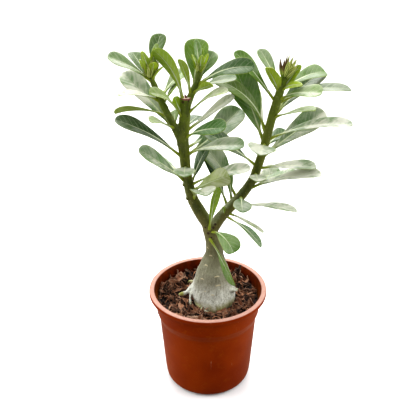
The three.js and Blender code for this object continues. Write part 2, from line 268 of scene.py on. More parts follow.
def tube(name: str, rings: np.ndarray) -> bpy.types.Object:
    """Makes a closed tube through rings of points: a grid, bent round, its seam merged and its ends filled.

    Args:
        name: Name of the piece.
        rings: Points as an array of rings, points in a ring, and x, y, z, in metres.

    Returns:
        The new object.
    """
    rows, count = rings.shape[:2]
    clear_selection()
    bpy.ops.mesh.primitive_grid_add(x_subdivisions=count, y_subdivisions=rows - 1, size=2)
    piece = bpy.context.object
    piece.name = name
    wrapped = np.concatenate([rings, rings[:, :1]], axis=1)
    set_points(piece.data, wrapped.reshape(-1, 3))
    bpy.ops.object.mode_set(mode="EDIT")
    bpy.ops.mesh.select_all(action="SELECT")
    bpy.ops.mesh.remove_doubles(threshold=1e-7)
    bpy.ops.mesh.select_all(action="DESELECT")
    bpy.ops.mesh.select_non_manifold()
    bpy.ops.mesh.edge_face_add()
    bpy.ops.mesh.select_all(action="SELECT")
    bpy.ops.mesh.normals_make_consistent(inside=False)
    bpy.ops.object.mode_set(mode="OBJECT")
    return piece


@dataclass
class Route:
    """A limb's middle line, as a smooth curve through points with a radius at each."""

    rows: Sequence[Sequence[float]]
    steps: int = 400

    def __post_init__(self) -> None:
        """Samples the curve and its length."""
        table = np.array(self.rows, float)
        ends = (2 * table[0] - table[1], 2 * table[-1] - table[-2])
        padded = np.vstack([ends[0], table, ends[1]])
        spans = len(table) - 1
        self.where = np.linspace(0, spans, self.steps + 1)
        rows = []
        for place in self.where:
            k = min(int(place), spans - 1)
            u = place - k
            p0, p1, p2, p3 = padded[k : k + 4, :3]
            v1, v2 = (p2 - p0) / 2, (p3 - p1) / 2
            bend = (2 * p1 - 2 * p2 + v1 + v2) * u**3 + (-3 * p1 + 3 * p2 - 2 * v1 - v2) * u**2
            rows.append(bend + v1 * u + p1)
        self.line = np.array(rows)
        gaps = np.linalg.norm(np.diff(self.line, axis=0), axis=1)
        self.run = np.concatenate([[0], np.cumsum(gaps)])
        self.length = float(self.run[-1])
        self.radii = table[:, 3]

    def point(self, at: float) -> np.ndarray:
        """Returns the point at a distance along the route, in mm."""
        return np.array([np.interp(at, self.run, self.line[:, k]) for k in range(3)])

    def tangent(self, at: float) -> np.ndarray:
        """Returns the direction at a distance along the route."""
        step = self.point(min(at + 0.5, self.length)) - self.point(max(at - 0.5, 0))
        return step / np.linalg.norm(step)

    def radius(self, at: float) -> float:
        """Returns the limb's radius at a distance along the route, in mm."""
        place = np.interp(at, self.run, self.where)
        return float(np.interp(place, np.arange(len(self.radii)), self.radii))


# Points as x, y, z and radius in mm, the same as in the part's source
STEM_ROUTES = {
    Limb.LEFT_STEM: Route(
        (
            (2.5, 0, 179.2, 6.6),
            (-7.9, -1, 196.4, 6),
            (-14.9, -2, 212.5, 5.2),
            (-18.6, -2, 229.8, 4.8),
            (-20.6, -3, 246.7, 4.8),
            (-21.8, -3, 263.3, 5.2),
            (-22.4, -4, 273.1, 5.8),
            (-20.2, -3, 293, 4.9),
            (-19.2, -3, 309.9, 5.1),
        )
    ),
    Limb.LEFT_SHOOT: Route(
        (
            (-22.4, -4, 268, 4),
            (-26.1, -5, 276.2, 3.9),
            (-32.5, -6, 290.3, 3.3),
            (-38, -8, 302.7, 3.1),
            (-42.7, -9, 314.7, 3),
            (-45.3, -10, 322.2, 2.7),
            (-47.3, -11, 328.2, 2.4),
            (-48.8, -12, 334.5, 2),
        )
    ),
    Limb.MIDDLE_SHOOT: Route(
        (
            (-20, -3, 296, 3.3),
            (-15.5, 0, 308.8, 3.3),
            (-9.9, 2, 320.8, 3),
            (-8.4, 3, 326.7, 2.8),
            (-6.9, 4, 332.5, 2.4),
            (-5.9, 4, 338, 2),
        )
    ),
    Limb.RIGHT_STEM: Route(
        (
            (2.5, 0, 175, 6),
            (6.5, 0, 180.1, 6),
            (14.5, 2, 191.1, 5.4),
            (24, 3, 201.8, 5),
            (33.2, 4, 212.5, 4.8),
            (42.3, 5, 226.4, 4.3),
            (46.6, 6, 238.3, 4.3),
            (51.3, 7, 255, 4.1),
            (54.6, 8, 269.7, 4.1),
            (58.4, 8, 287.2, 4.1),
            (62.1, 9, 301.1, 4.1),
            (65.2, 10, 313.3, 3.8),
            (67, 10, 320.8, 3.5),
            (68.9, 10, 326.7, 3),
            (70.4, 10, 332.5, 2.6),
        )
    ),
}

ROOT_ROUTES = (
    Route(
        (
            (-6, 0, 113, 7),
            (-12.5, -3, 109.5, 6),
            (-18, -5, 107.6, 3.4),
            (-21.5, -7, 106.8, 1.8),
            (-25.6, -8.2, 105.8, 2.3),
            (-29.4, -9, 104.8, 1.2),
        )
    ),
    Route(
        (
            (-13.5, -6, 108, 3),
            (-17, -10, 106.8, 1.4),
            (-18, -13.4, 103, 1.1),
            (-17.4, -16.5, 98.5, 1.1),
            (-16.4, -18.4, 91, 1.1),
        )
    ),
    Route(
        (
            (-13, -9, 99.5, 1.4),
            (-11.6, -13.4, 97.4, 1.3),
            (-9, -17.6, 96, 1.2),
            (-4, -21.8, 94.6, 1.2),
            (2, -24, 93, 1),
        )
    ),
    Route(
        (
            (18, -6, 109.5, 3.4),
            (23.5, -8, 109, 2.2),
            (27.4, -8.5, 109.4, 1.4),
            (29.8, -8.6, 110.2, 1.1),
        )
    ),
    Route(
        (
            (9, 10, 110, 9),
            (12, 18, 103.5, 6),
            (15, 26, 98.8, 3.6),
            (19, 34, 96, 2.2),
            (23, 41, 92.5, 1.4),
        )
    ),
    Route(
        (
            (-4, 10, 110, 8),
            (-9, 17.5, 102.6, 5),
            (-14, 24, 97.6, 2.8),
            (-20, 30, 94.6, 1.8),
            (-24, 33, 91, 1.2),
        )
    ),
    Route(
        (
            (18, 4, 107, 6),
            (26, 8, 99.6, 3.6),
            (32, 12, 96, 2),
            (38, 14, 92.5, 1.2),
        )
    ),
)

# Bases of lost leaves on the left arm
KNOB_ROUTES = (
    Route(((-14, -3, 214.6, 2.6), (-18.4, -5, 212.6, 2.3), (-20.6, -5.8, 212.2, 1.4))),
    Route(((-17.4, -3, 222, 2), (-21.8, -4, 225.4, 1.5), (-23.8, -4.4, 226.4, 0.9))),
)


@dataclass(frozen=True)
class LeafRow:
    """One leaf: mm along its stem, turn, rise, droop, length, width and roll, then its looks and its sheath.

    Looks are shares of youth, which is yellow-green, of shade, a darker green that is in part painted shade,
    and of highlight, a pale painted highlight.
    The sheath is 1 for a young leaf with a broad foot and 0 for one with a stalk.
    """

    at: float
    turn: float
    rise: float
    droop: float
    length: float
    width: float
    roll: float
    youth: float = 0.0
    shade: float = 0.4
    haze: float = 0.4
    sheath: float = 0.0


def leaf_rows(*table: Sequence[float]) -> tuple[LeafRow, ...]:
    """Returns the table's rows as leaves."""
    return tuple(LeafRow(*row) for row in table)


LEAVES = {
    Limb.LEFT_STEM: leaf_rows(
        (36, -68, 66, 72, 42, 23, 0, 0, 0.25, 0.8),
        (45, -30, 38, 12, 46, 17, -94, 0.1, 0, 1.4),
        (51, -15, 34, 24, 61, 15, 22, 0, 0.1, 1.4),
        (51, 30, 68, 14, 38, 14, 10, 0, 0.8, 0.2),
        (54, -150, 48, 12, 62, 18, -40, 0, 0.2, 1.3),
        (60, 140, 16, 18, 52, 13, 0, 0, 0.2, 0.8),
        (70, -90, 24, 26, 39, 19, 0, 0, 0.3, 0.6),
        (80, -165, 46, 22, 72, 18, -25, 0, 0.95, 0.15),
        (80, 40, 18, -14, 73, 24, 25, 0, 0.6, 0.45),
        (83, -20, 28, 24, 57, 17, 25, 0, 0.3, 0.65),
        (87, 55, 2, -6, 79, 18, 25, 0, 0.6, 0.2),
        (100, -40, 34, 22, 50, 18, 35, 0, 0.55, 0.15),
        (105, 10, 38, 6, 53, 11, 24, 0.1, 0, 1.9),
        (107, 65, 10, 8, 28, 11, 0, 0, 0.8, 0.1),
        (118, -140, 66, 50, 46, 15, -24, 0.45, 0.5, 0.4),
        (121, -150, 60, -14, 19, 9, -75, 0.6, 0.3, 0),
        (122, -20, 50, 34, 45, 13, 15, 0.6, 0, 0.9),
        (130, -145, 87, 50, 61, 12, 50, 0.5, 0.95, 0),
    ),
    Limb.LEFT_SHOOT: leaf_rows(
        (13, 155, 48, 12, 70, 21, -25, 0, 0.1, 1.4),
        (17, -115, 34, 18, 44, 13, -20, 0.3, 0.3, 0.5),
        (17, 90, 42, 10, 18, 9, -25, 0.3, 0.3, 0.3),
        (22, 125, 22, 20, 72, 18, -15, 0, 0.2, 1),
        (29, 175, 24, 46, 48, 14, 35, 0.5, 0.4, 0.2),
        (43, 35, 50, 16, 22, 9, -10, 0.5, 0.5, 0),
        (45, -160, 36, 44, 38, 12, -9, 0.4, 0.3, 0.9),
        (48, 50, 40, 26, 38, 14, 10, 0.2, 0.5, 0.3),
        (62, 125, 32, 6, 40, 15, 5, 0.1, 0.9, 0),
        (65, -155, 42, 16, 44, 15, -34, 0.1, 0.4, 0.5),
    ),
    Limb.MIDDLE_SHOOT: leaf_rows(
        (18, -130, 78, 18, 36, 9, 10, 0.7, 0.4, 0.1),
        (19, -45, 38, 20, 26, 9, -45, 0.6, 0.4, 0.1),
        (21, -10, 32, 26, 39, 15, 15, 0, 0.35, 0.5),
        (22, 85, 36, 16, 53, 15, -15),
        (22, 80, 68, 4, 44, 21, 0, 0.3, 0.2, 0.35),
        (26, -20, 44, 44, 57, 15, 48, 0, 0.7, 0.2),
        (30, 40, 54, 4, 29, 15, 25, 0.1, 0.2, 0.65),
    ),
    Limb.RIGHT_STEM: leaf_rows(
        (19, 8, -34, 22, 54, 12, 24, 0, 0.5, 0.4),
        (21, -85, 76, 10, 12, 4, 135, 0.5, 0.3, 0.2),
        (24, -32, -6, 16, 41, 7.5, -8, 0.25, 0.3, 0.9),
        (30, 130, 62, 18, 62, 18, 5, 0, 0.8, 0),
        (33, -15, 14, 24, 61, 14, 0, 0, 0.4, 0.75),
        (37, 145, 82, 8, 33, 10, -10, 0.2, 0.5, 0.3),
        (42, 115, 32, 18, 61, 15, 5, 0, 0.4, 0.6),
        (43, 140, 58, 22, 58, 22, -15, 0, 0.4, 0.8),
        (46, -90, 18, 28, 37, 17, -5, 0, 0.4, 0.4),
        (53, 30, 18, 26, 64, 13, 0, 0, 0.2, 0.9),
        (56, -15, 32, 28, 71, 17, 10, 0, 0.2, 1.15),
        (59, 45, 8, 18, 47, 20, 25, 0, 0.2, 1),
        (73, -90, 24, 24, 33, 16, 0, 0, 0.2, 0.9),
        (79, -15, 14, 14, 53, 17, 10, 0, 0.5, 0.7),
        (81, -175, 46, 22, 60, 17, -36, 0, 0.8, 0.25),
        (90, 20, 34, 6, 72, 22, 35, 0, 0.3, 1.1),
        (91, 45, 18, 16, 79, 18, 20, 0, 0.3, 0.6),
        (99, 55, 12, 12, 41, 15, 10, 0, 0.7, 0.1),
        (103, -100, 20, 22, 42, 24, -10, 0, 0.3, 0.8),
        (105, 150, 68, 6, 69, 26, -45, 0.14, 0, 0.6),
        (108, -10, 30, 32, 78, 17, 15, 0, 0.2, 1),
        (111, 110, 42, 14, 63, 18, -5, 0.2, 0, 1),
        (115, 178, 76, 62, 73, 15, -40, 0.2, 0.75, 0.3),
        (130, -40, 30, 20, 45, 13, 10, 0.3, 0.3, 0.4),
        (130, 35, 38, 16, 67, 22, 20, 0, 0.7, 0.35),
        (134, 55, 20, 22, 78, 17, 20, 0, 0.75, 0.15),
        (143, 5, 30, 42, 68, 14, 14, 0, 0.75, 0.35),
        (145, 175, 56, 14, 57, 16, -30, 0.15, 0.6, 0),
        (147, -40, 34, 32, 45, 16, 30, 0.2, 0.3, 0.45),
        (155, 30, 28, 34, 50, 18, 22, 0.1, 0.5, 0.2),
        (156, 125, 54, 18, 42, 13, -5, 0.1, 0.6, 0.3),
    ),
}

HEAD_LEAVES = {
    Limb.LEFT_SHOOT: leaf_rows(
        (69, -125, 72, 8, 25, 10, -95, 0.85, 0.3, 0.2, 1),
        (69, -70, 64, 18, 18, 11, 0, 1, 0.2, 0.1, 1),
        (70, 35, 98, 44, 25, 8, -60, 0.9, 0.2, 0.3, 0.6),
        (71, 20, 80, 6, 26, 8, 35, 0.4, 0.5, 0.5, 0.7),
        (71, 65, 60, 6, 36, 15, 0, 0.1, 0.8, 0.1),
        (67, -30, 58, 24, 16, 8, 20, 1, 0.1, 0, 1),
        (68, 160, 66, 14, 17, 8, -20, 0.9, 0.3, 0.1, 1),
    ),
    Limb.MIDDLE_SHOOT: leaf_rows(
        (40.5, 125, 82, 4, 25, 9, -5, 0.15, 0.3, 0.8, 0.6),
        (39, -70, 72, 10, 17, 7, 130, 0.7, 0.3, 0.3, 1),
        (38, 20, 72, 14, 17, 6, 40, 1, 0.1, 0.1, 1),
        (38, -160, 78, 12, 17, 5.5, -60, 0.7, 0.4, 0.1, 1),
        (39, 70, 76, 8, 19, 7, 0, 0.4, 0.3, 0.2, 1),
    ),
    Limb.RIGHT_STEM: leaf_rows(
        (155, -155, 72, 26, 26, 14, 30, 1, 0, 0, 0.8),
        (156, -40, 38, 34, 22, 10, 30, 0.9, 0.2, 0.2, 0.9),
        (155, 8, 58, 6, 27, 10, 40, 0.8, 0.35, 0.1, 0.8),
        (159, 60, 62, 20, 17, 8, 0, 0.9, 0.2, 0.2, 1),
        (159, 140, 68, 20, 18, 8, 20, 0.9, 0.2, 0.2, 1),
    ),
}


@dataclass(frozen=True)
class BudCluster:
    """The buds of one head: their count, length, spread, share of purple, depth below the tip, and lean."""

    count: int
    length: float
    spread: float
    purple: float
    depth: float
    lean: tuple[float, float, float]


HEAD_BUDS = {
    Limb.LEFT_SHOOT: BudCluster(17, 13, 30, 0.7, 1, (0.34, 0, 0.1)),
    Limb.MIDDLE_SHOOT: BudCluster(8, 8, 26, 0.1, 3, (0.1, -0.1, 0)),
    Limb.RIGHT_STEM: BudCluster(20, 14, 30, 0.9, 4, (0.04, -0.05, 0)),
}

HEAD_NODES = {
    Limb.LEFT_SHOOT: "left_tip",
    Limb.MIDDLE_SHOOT: "middle_tip",
    Limb.RIGHT_STEM: "right_tip",
}

FORK_LEAVES = {
    "fork_leaf_upright": ((1.6, -7, 179.5), LeafRow(0, 0, 86, 10, 46, 14, 140, 0.55, 0.35, 0)),
    "fork_leaf_round": ((4.5, -7, 177), LeafRow(0, -50, 24, 84, 35, 20, 5, 0.15, 0.3, 0.2)),
    "fork_leaf_hanging": ((1.6, -7.4, 170), LeafRow(0, -46, -40, 14, 52, 14, 100, 0.15, 0.35, 0.6)),
}


@dataclass(frozen=True)
class PolypropyleneFinish:
    """Injection-moulded terracotta polypropylene: a satin skin with the scuffs and the dust of handling,
    painted shade inside the mouth and a painted highlight on top of the lip.
    """

    name: str = "moulded_terracotta_polypropylene"
    body: str = "8e3500"
    deep: str = "7c2800"
    warm: str = "9c4c06"
    sheen: str = "ff9a30"
    lip_highlight: str = "be978a"
    dust: str = "c9a58c"
    stain_and_shade: str = "3a1408"
    roughness: float = 0.42
    ior: float = 1.49
    dusty_foot_mm: float = 12.0
    dirty_foot_mm: float = 6.0
    collar_mm: tuple[float, float] = (82.0, 100.0)
    mouth_mm: tuple[float, float] = (99.0, 108.0)
    mouth_radius_mm: float = 52.5
    mouth_flare_mm: float = 3.2
    inside_shade_from_mm: float = 90.0
    lip_mm: tuple[float, float] = (107.8, 108.4)

    def make(self) -> bpy.types.Material:
        """Makes the finish.

        Returns:
            The material.
        """
        material, add, shader = new_material(self.name)
        place = add("TexCoord", output="Object")
        height = add("SeparateXYZ", (place,), "Z")
        clouds, mottle, patches, specks, skin = (
            add("TexNoise", {"Vector": place, "Scale": scale_of(mm), "Detail": detail, "Roughness": rough})
            for mm, detail, rough in (
                (26, 4, 0.55),
                (3.2, 5, 0.7),
                (18, 2, 0.55),
                (0.9, 2, 0.55),
                (2.4, 2, 0.55),
            )
        )
        # Fine vertical and slanting rubs, a millimetre or less wide, from stacking pots in each other
        upright = add("Mapping", {"Vector": place, "Scale": (1, 1, 0.12)})
        rubs = add("TexNoise", {"Vector": upright, "Scale": scale_of(1.1), "Detail": 4, "Roughness": 0.6})
        rubs = add("MapRange", (rubs, 0.66, 0.74), **SOFT)
        patches = add("MapRange", (patches, 0.5, 0.64, 0, 0.3), **SOFT)
        rubbed = add("Math", (rubs, patches), **TIMES)
        # Specks of potting dust, thicker near the foot and on the collar
        specks = add("MapRange", (specks, 0.7, 0.76, 0, 0.45), **SOFT)
        foot = add("MapRange", (height, self.dusty_foot_mm * MM, 0, 0.15, 1), **SOFT)
        collar = add("MapRange", (height, self.collar_mm[0] * MM, self.collar_mm[1] * MM, 0, 0.5), **SOFT)
        dusty = add("Math", (specks, add("Math", (foot, collar), operation="MAXIMUM")), **TIMES)
        dirty = add("MapRange", (height, self.dirty_foot_mm * MM, 0, 0, 0.5), **SOFT)
        dirty = add("Math", (dirty, add("MapRange", (mottle, 0.4, 0.6), **SOFT)), **TIMES)
        # Painted shade darkens the inside of the wall, which leans out towards the mouth
        flat = add("Mapping", {"Vector": place, "Scale": (1, 1, 0)})
        radius = add("VectorMath", (flat,), "Value", operation="LENGTH")
        mouth = add("MapRange", (height, self.mouth_mm[0] * MM, self.mouth_mm[1] * MM), **SOFT)
        wall = (mouth, self.mouth_flare_mm * MM, self.mouth_radius_mm * MM)
        within = add("Math", (radius, add("Math", wall, operation="MULTIPLY_ADD")), operation="LESS_THAN")
        above = add("Math", (height, self.inside_shade_from_mm * MM), operation="GREATER_THAN")
        inside = add("Math", (within, above), **TIMES)
        inside = add("Math", (inside, add("MapRange", (mottle, 0.3, 0.62, 0.55, 0.9), **SOFT)), **TIMES)
        # Painted highlight: the top of the lip is painted pale where the light from above falls on it
        lip_highlight = add("MapRange", (height, self.lip_mm[0] * MM, self.lip_mm[1] * MM), **SOFT)
        lip_highlight = add("Math", (lip_highlight, add("MapRange", (mottle, 0.2, 0.6, 0.75, 1), **SOFT)), **TIMES)
        colour = self.body
        for share, coat in (
            (add("MapRange", (clouds, 0.35, 0.65), **SOFT), self.deep),
            (add("MapRange", (mottle, 0.52, 0.72, 0, 0.35), **SOFT), self.warm),
            (rubbed, self.dust),
            (dusty, self.dust),
            # The foot's dark colour is a stain, and the same colour inside the mouth is painted shade
            (dirty, self.stain_and_shade),
            (inside, self.stain_and_shade),
            (lip_highlight, self.lip_highlight),
        ):
            colour = add("Mix", {0: share, 6: colour, 7: coat}, **COLOURS)
        rough = add("Math", (mottle, 0.16, self.roughness - 0.08), operation="MULTIPLY_ADD")
        rough = add("Math", (rubbed, 0.5, rough), operation="MULTIPLY_ADD")
        # Faint orange-peel of the mould, about 2 mm across and a few hundredths deep
        relief = add("Bump", {"Height": skin, "Distance": 0.05 * MM})
        relief = add("Bump", {"Height": rubs, "Distance": 0.02 * MM, "Normal": relief})
        set_inputs(shader, {"Base Color": colour, "Roughness": rough, "Normal": relief, "IOR": self.ior})
        set_inputs(shader, {"Specular IOR Level": 0.08, "Specular Tint": self.sheen})
        set_inputs(shader, {"Sheen Weight": 0.12, "Sheen Roughness": 0.4, "Sheen Tint": self.sheen})
        return material


@dataclass(frozen=True)
class PeatFinish:
    """Damp peat and composted bark dust: brown on its raised crumbs and almost black in the hollows, partly
    its own damp colour and partly painted shade.
    """

    name: str = "damp_peat"
    wet_and_shade: str = "0d0604"
    dry: str = "33190f"

    def make(self) -> bpy.types.Material:
        """Makes the finish.

        Returns:
            The material.
        """
        material, add, shader = new_material(self.name)
        place = add("TexCoord", output="Object")
        crumbs = add("TexNoise", {"Vector": place, "Scale": scale_of(1.6), "Detail": 6, "Roughness": 0.65})
        # Painted shade: where the crumbs' bump is low, the dark damp peat is painted almost black, and the
        # raised crumbs take the dry brown
        raised_and_dry = add("MapRange", (crumbs, 0.42, 0.68), **SOFT)
        colour = add("Mix", {0: raised_and_dry, 6: self.wet_and_shade, 7: self.dry}, **COLOURS)
        relief = add("Bump", {"Height": crumbs, "Distance": 0.9 * MM})
        set_inputs(shader, {"Base Color": colour, "Normal": relief, "Roughness": 0.85})
        return material


@dataclass(frozen=True)
class ChipFinish:
    """Composted pine bark: red-brown chips, each its own shade, with a painted highlight on their rims and
    dark grain.
    """

    name: str = "composted_bark_chip"
    dark: str = "190a05"
    red: str = "643922"
    pale: str = "bd8868"
    straw: str = "dab398"

    def make(self) -> bpy.types.Material:
        """Makes the finish.

        Returns:
            The material.
        """
        material, add, shader = new_material(self.name)
        place = add("TexCoord", output="Object")
        chip = add("Attribute", output="Vector", attribute_name="chip")
        shade, across, straw = add("SeparateXYZ", (chip,)).node.outputs
        mottle = add("TexNoise", {"Vector": place, "Scale": scale_of(1.4), "Detail": 5, "Roughness": 0.65})
        wander = add("Math", (across, 42, add("Math", (mottle, 9), **TIMES)), operation="MULTIPLY_ADD")
        fibres = add("Math", (wander,), operation="SINE")
        colour = self.dark
        for share, coat in (
            (add("MapRange", (shade, 0.12, 0.5), **SOFT), self.red),
            (add("MapRange", (shade, 0.5, 0.95), **SOFT), self.pale),
            # The third number is the straw share of straw pieces and the painted highlight on each chip's
            # rim
            (straw, self.straw),
            (add("MapRange", (mottle, 0.52, 0.7, 0, 0.45), **SOFT), self.dark),
            (add("MapRange", (mottle, 0.48, 0.34, 0, 0.3), **SOFT), self.pale),
            (add("MapRange", (fibres, 0.2, 1, 0, 0.3), **SOFT), self.dark),
        ):
            colour = add("Mix", {0: share, 6: colour, 7: coat}, **COLOURS)
        relief = add("Bump", {"Height": mottle, "Distance": 0.5 * MM})
        relief = add("Bump", {"Height": fibres, "Distance": 0.12 * MM, "Normal": relief})
        set_inputs(shader, {"Base Color": colour, "Normal": relief})
        set_inputs(shader, {"Roughness": 0.75, "Specular IOR Level": 0.15})
        return material


@dataclass(frozen=True)
class BarkFinish:
    """Living bark of a desert rose: waxy grey on the foot, olive-brown on the arms, green near the tips."""

    name: str = "desert_rose_bark"
    ages: tuple = (
        (0.0, "dadcd2"),
        (0.06, "cbccbf"),
        (0.085, "b1b09f"),
        (0.1, "969480"),
        (0.24, "757356"),
        (0.4, "6c6632"),
        (0.52, "585a10"),
        (0.72, "60690e"),
        (1.0, "617610"),
    )
    groove: str = "58543a"
    top_highlight_grey: str = "a9b18c"
    moss: str = "96954e"
    dark_green: str = "36430e"
    wax: str = "ffffff"
    rim: str = "dade86"
    tan: str = "d0c29c"
    scar: str = "33180c"

    def make(self) -> bpy.types.Material:
        """Makes the finish.

        Returns:
            The material.
        """
        material, add, shader = new_material(self.name)
        place = add("TexCoord", output="Object")
        bark = add("Attribute", output="Vector", attribute_name="bark")
        age, mark, foot = add("SeparateXYZ", (bark,)).node.outputs
        colour = add("ValToRGB", (age,))
        shades = colour.node.color_ramp.elements
        for k, (share, code) in enumerate(self.ages):
            shade = shades[k] if k < 2 else shades.new(share)
            shade.position = share
            shade.color = linear(code)
        # Wrinkles 1.1 mm wide and 10 mm long, streaks, the mottle of young bark, and patches, grain and dots
        patterns = []
        for upright, width, detail, rough in (
            (0.11, 1.1, 4, 0.6),
            (0.2, 1.6, 4, 0.6),
            (0.45, 3.4, 4, 0.65),
            (1, 9, 4, 0.6),
            (1, 0.8, 3, 0.6),
            (1, 0.6, 2, 0.55),
        ):
            drawn = add("Mapping", {"Vector": place, "Scale": (1, 1, upright)})
            noises = {"Vector": drawn, "Scale": scale_of(width), "Detail": detail, "Roughness": rough}
            patterns.append(add("TexNoise", noises))
        wrinkles, streaks, mottle, patches, fine, dots = patterns
        old = add("MapRange", (age, 0.3, 0.05, 0.25, 1), **SOFT)
        young = add("MapRange", (age, 0.3, 0.5), **SOFT)
        # Painted highlight: a pale grey where the skin faces the sky, most of all on the arms
        skyward = add("SeparateXYZ", (add("NewGeometry", output="Normal"),), "Z")
        skyward = add("MapRange", (skyward, 0.2, 0.8), **SOFT)
        arms = add("MapRange", (age, 0.66, 0.46, 0.2, 1), **SOFT)
        arms = add("Math", (arms, add("MapRange", (age, 0.2, 0.4, 0.15, 1), **SOFT)), **TIMES)
        top_highlight = add("Math", (skyward, arms), **TIMES)
        # Each coat is a pattern, its soft range, where it counts, and its colour
        for pattern, span, where, coat in (
            (patches, (0.42, 0.7, 0, 0.22), 1, self.groove),
            (mottle, (0.44, 0.6, 0, 0.6), young, self.dark_green),
            (wrinkles, (0.5, 0.3, 0, 0.6), old, self.groove),
            (streaks, (0.52, 0.72, 0, 0.3), 1, self.groove),
            (fine, (0.58, 0.76, 0, 0.3), 1, self.tan),
            (dots, (0.5, 0.64, 0, 0.4), old, self.groove),
            (patches, (0.6, 0.4, 0.4, 0.9), top_highlight, self.top_highlight_grey),
            (patches, (0.36, 0.6, 0.15, 0.95), foot, self.moss),
            (mark, (0.15, 0.6, 0, 0.75), 1, self.tan),
            (mark, (-0.12, -0.5, 0, 0.85), 1, self.scar),
        ):
            share = add("Math", (add("MapRange", (pattern, *span), **SOFT), where), **TIMES)
            colour = add("Mix", {0: share, 6: colour, 7: coat}, **COLOURS)
        relief = add("Bump", {"Height": wrinkles, "Distance": 0.6 * MM})
        relief = add("Bump", {"Height": fine, "Distance": 0.12 * MM, "Normal": relief})
        rough = add("MapRange", (age, 0.2, 0.6, 0.5, 0.42), **SOFT)
        # The wax shines pale where the old skin is seen edge-on, and yellow-green where the young bark is
        wax = add("MapRange", (age, 0.24, 0.06, 0, 0.4), **SOFT)
        wax = add("Math", (wax, add("MapRange", (age, 0.36, 0.5, 0, 0.7), **SOFT)), operation="ADD")
        greener = add("MapRange", (age, 0.24, 0.5), **SOFT)
        tint = add("Mix", {0: greener, 6: self.wax, 7: self.rim}, **COLOURS)
        set_inputs(shader, {"Base Color": colour, "Normal": relief, "Roughness": rough})
        set_inputs(shader, {"Sheen Weight": wax, "Sheen Tint": tint, "Sheen Roughness": 0.4})
        set_inputs(shader, {"Specular IOR Level": 0.3})
        return material


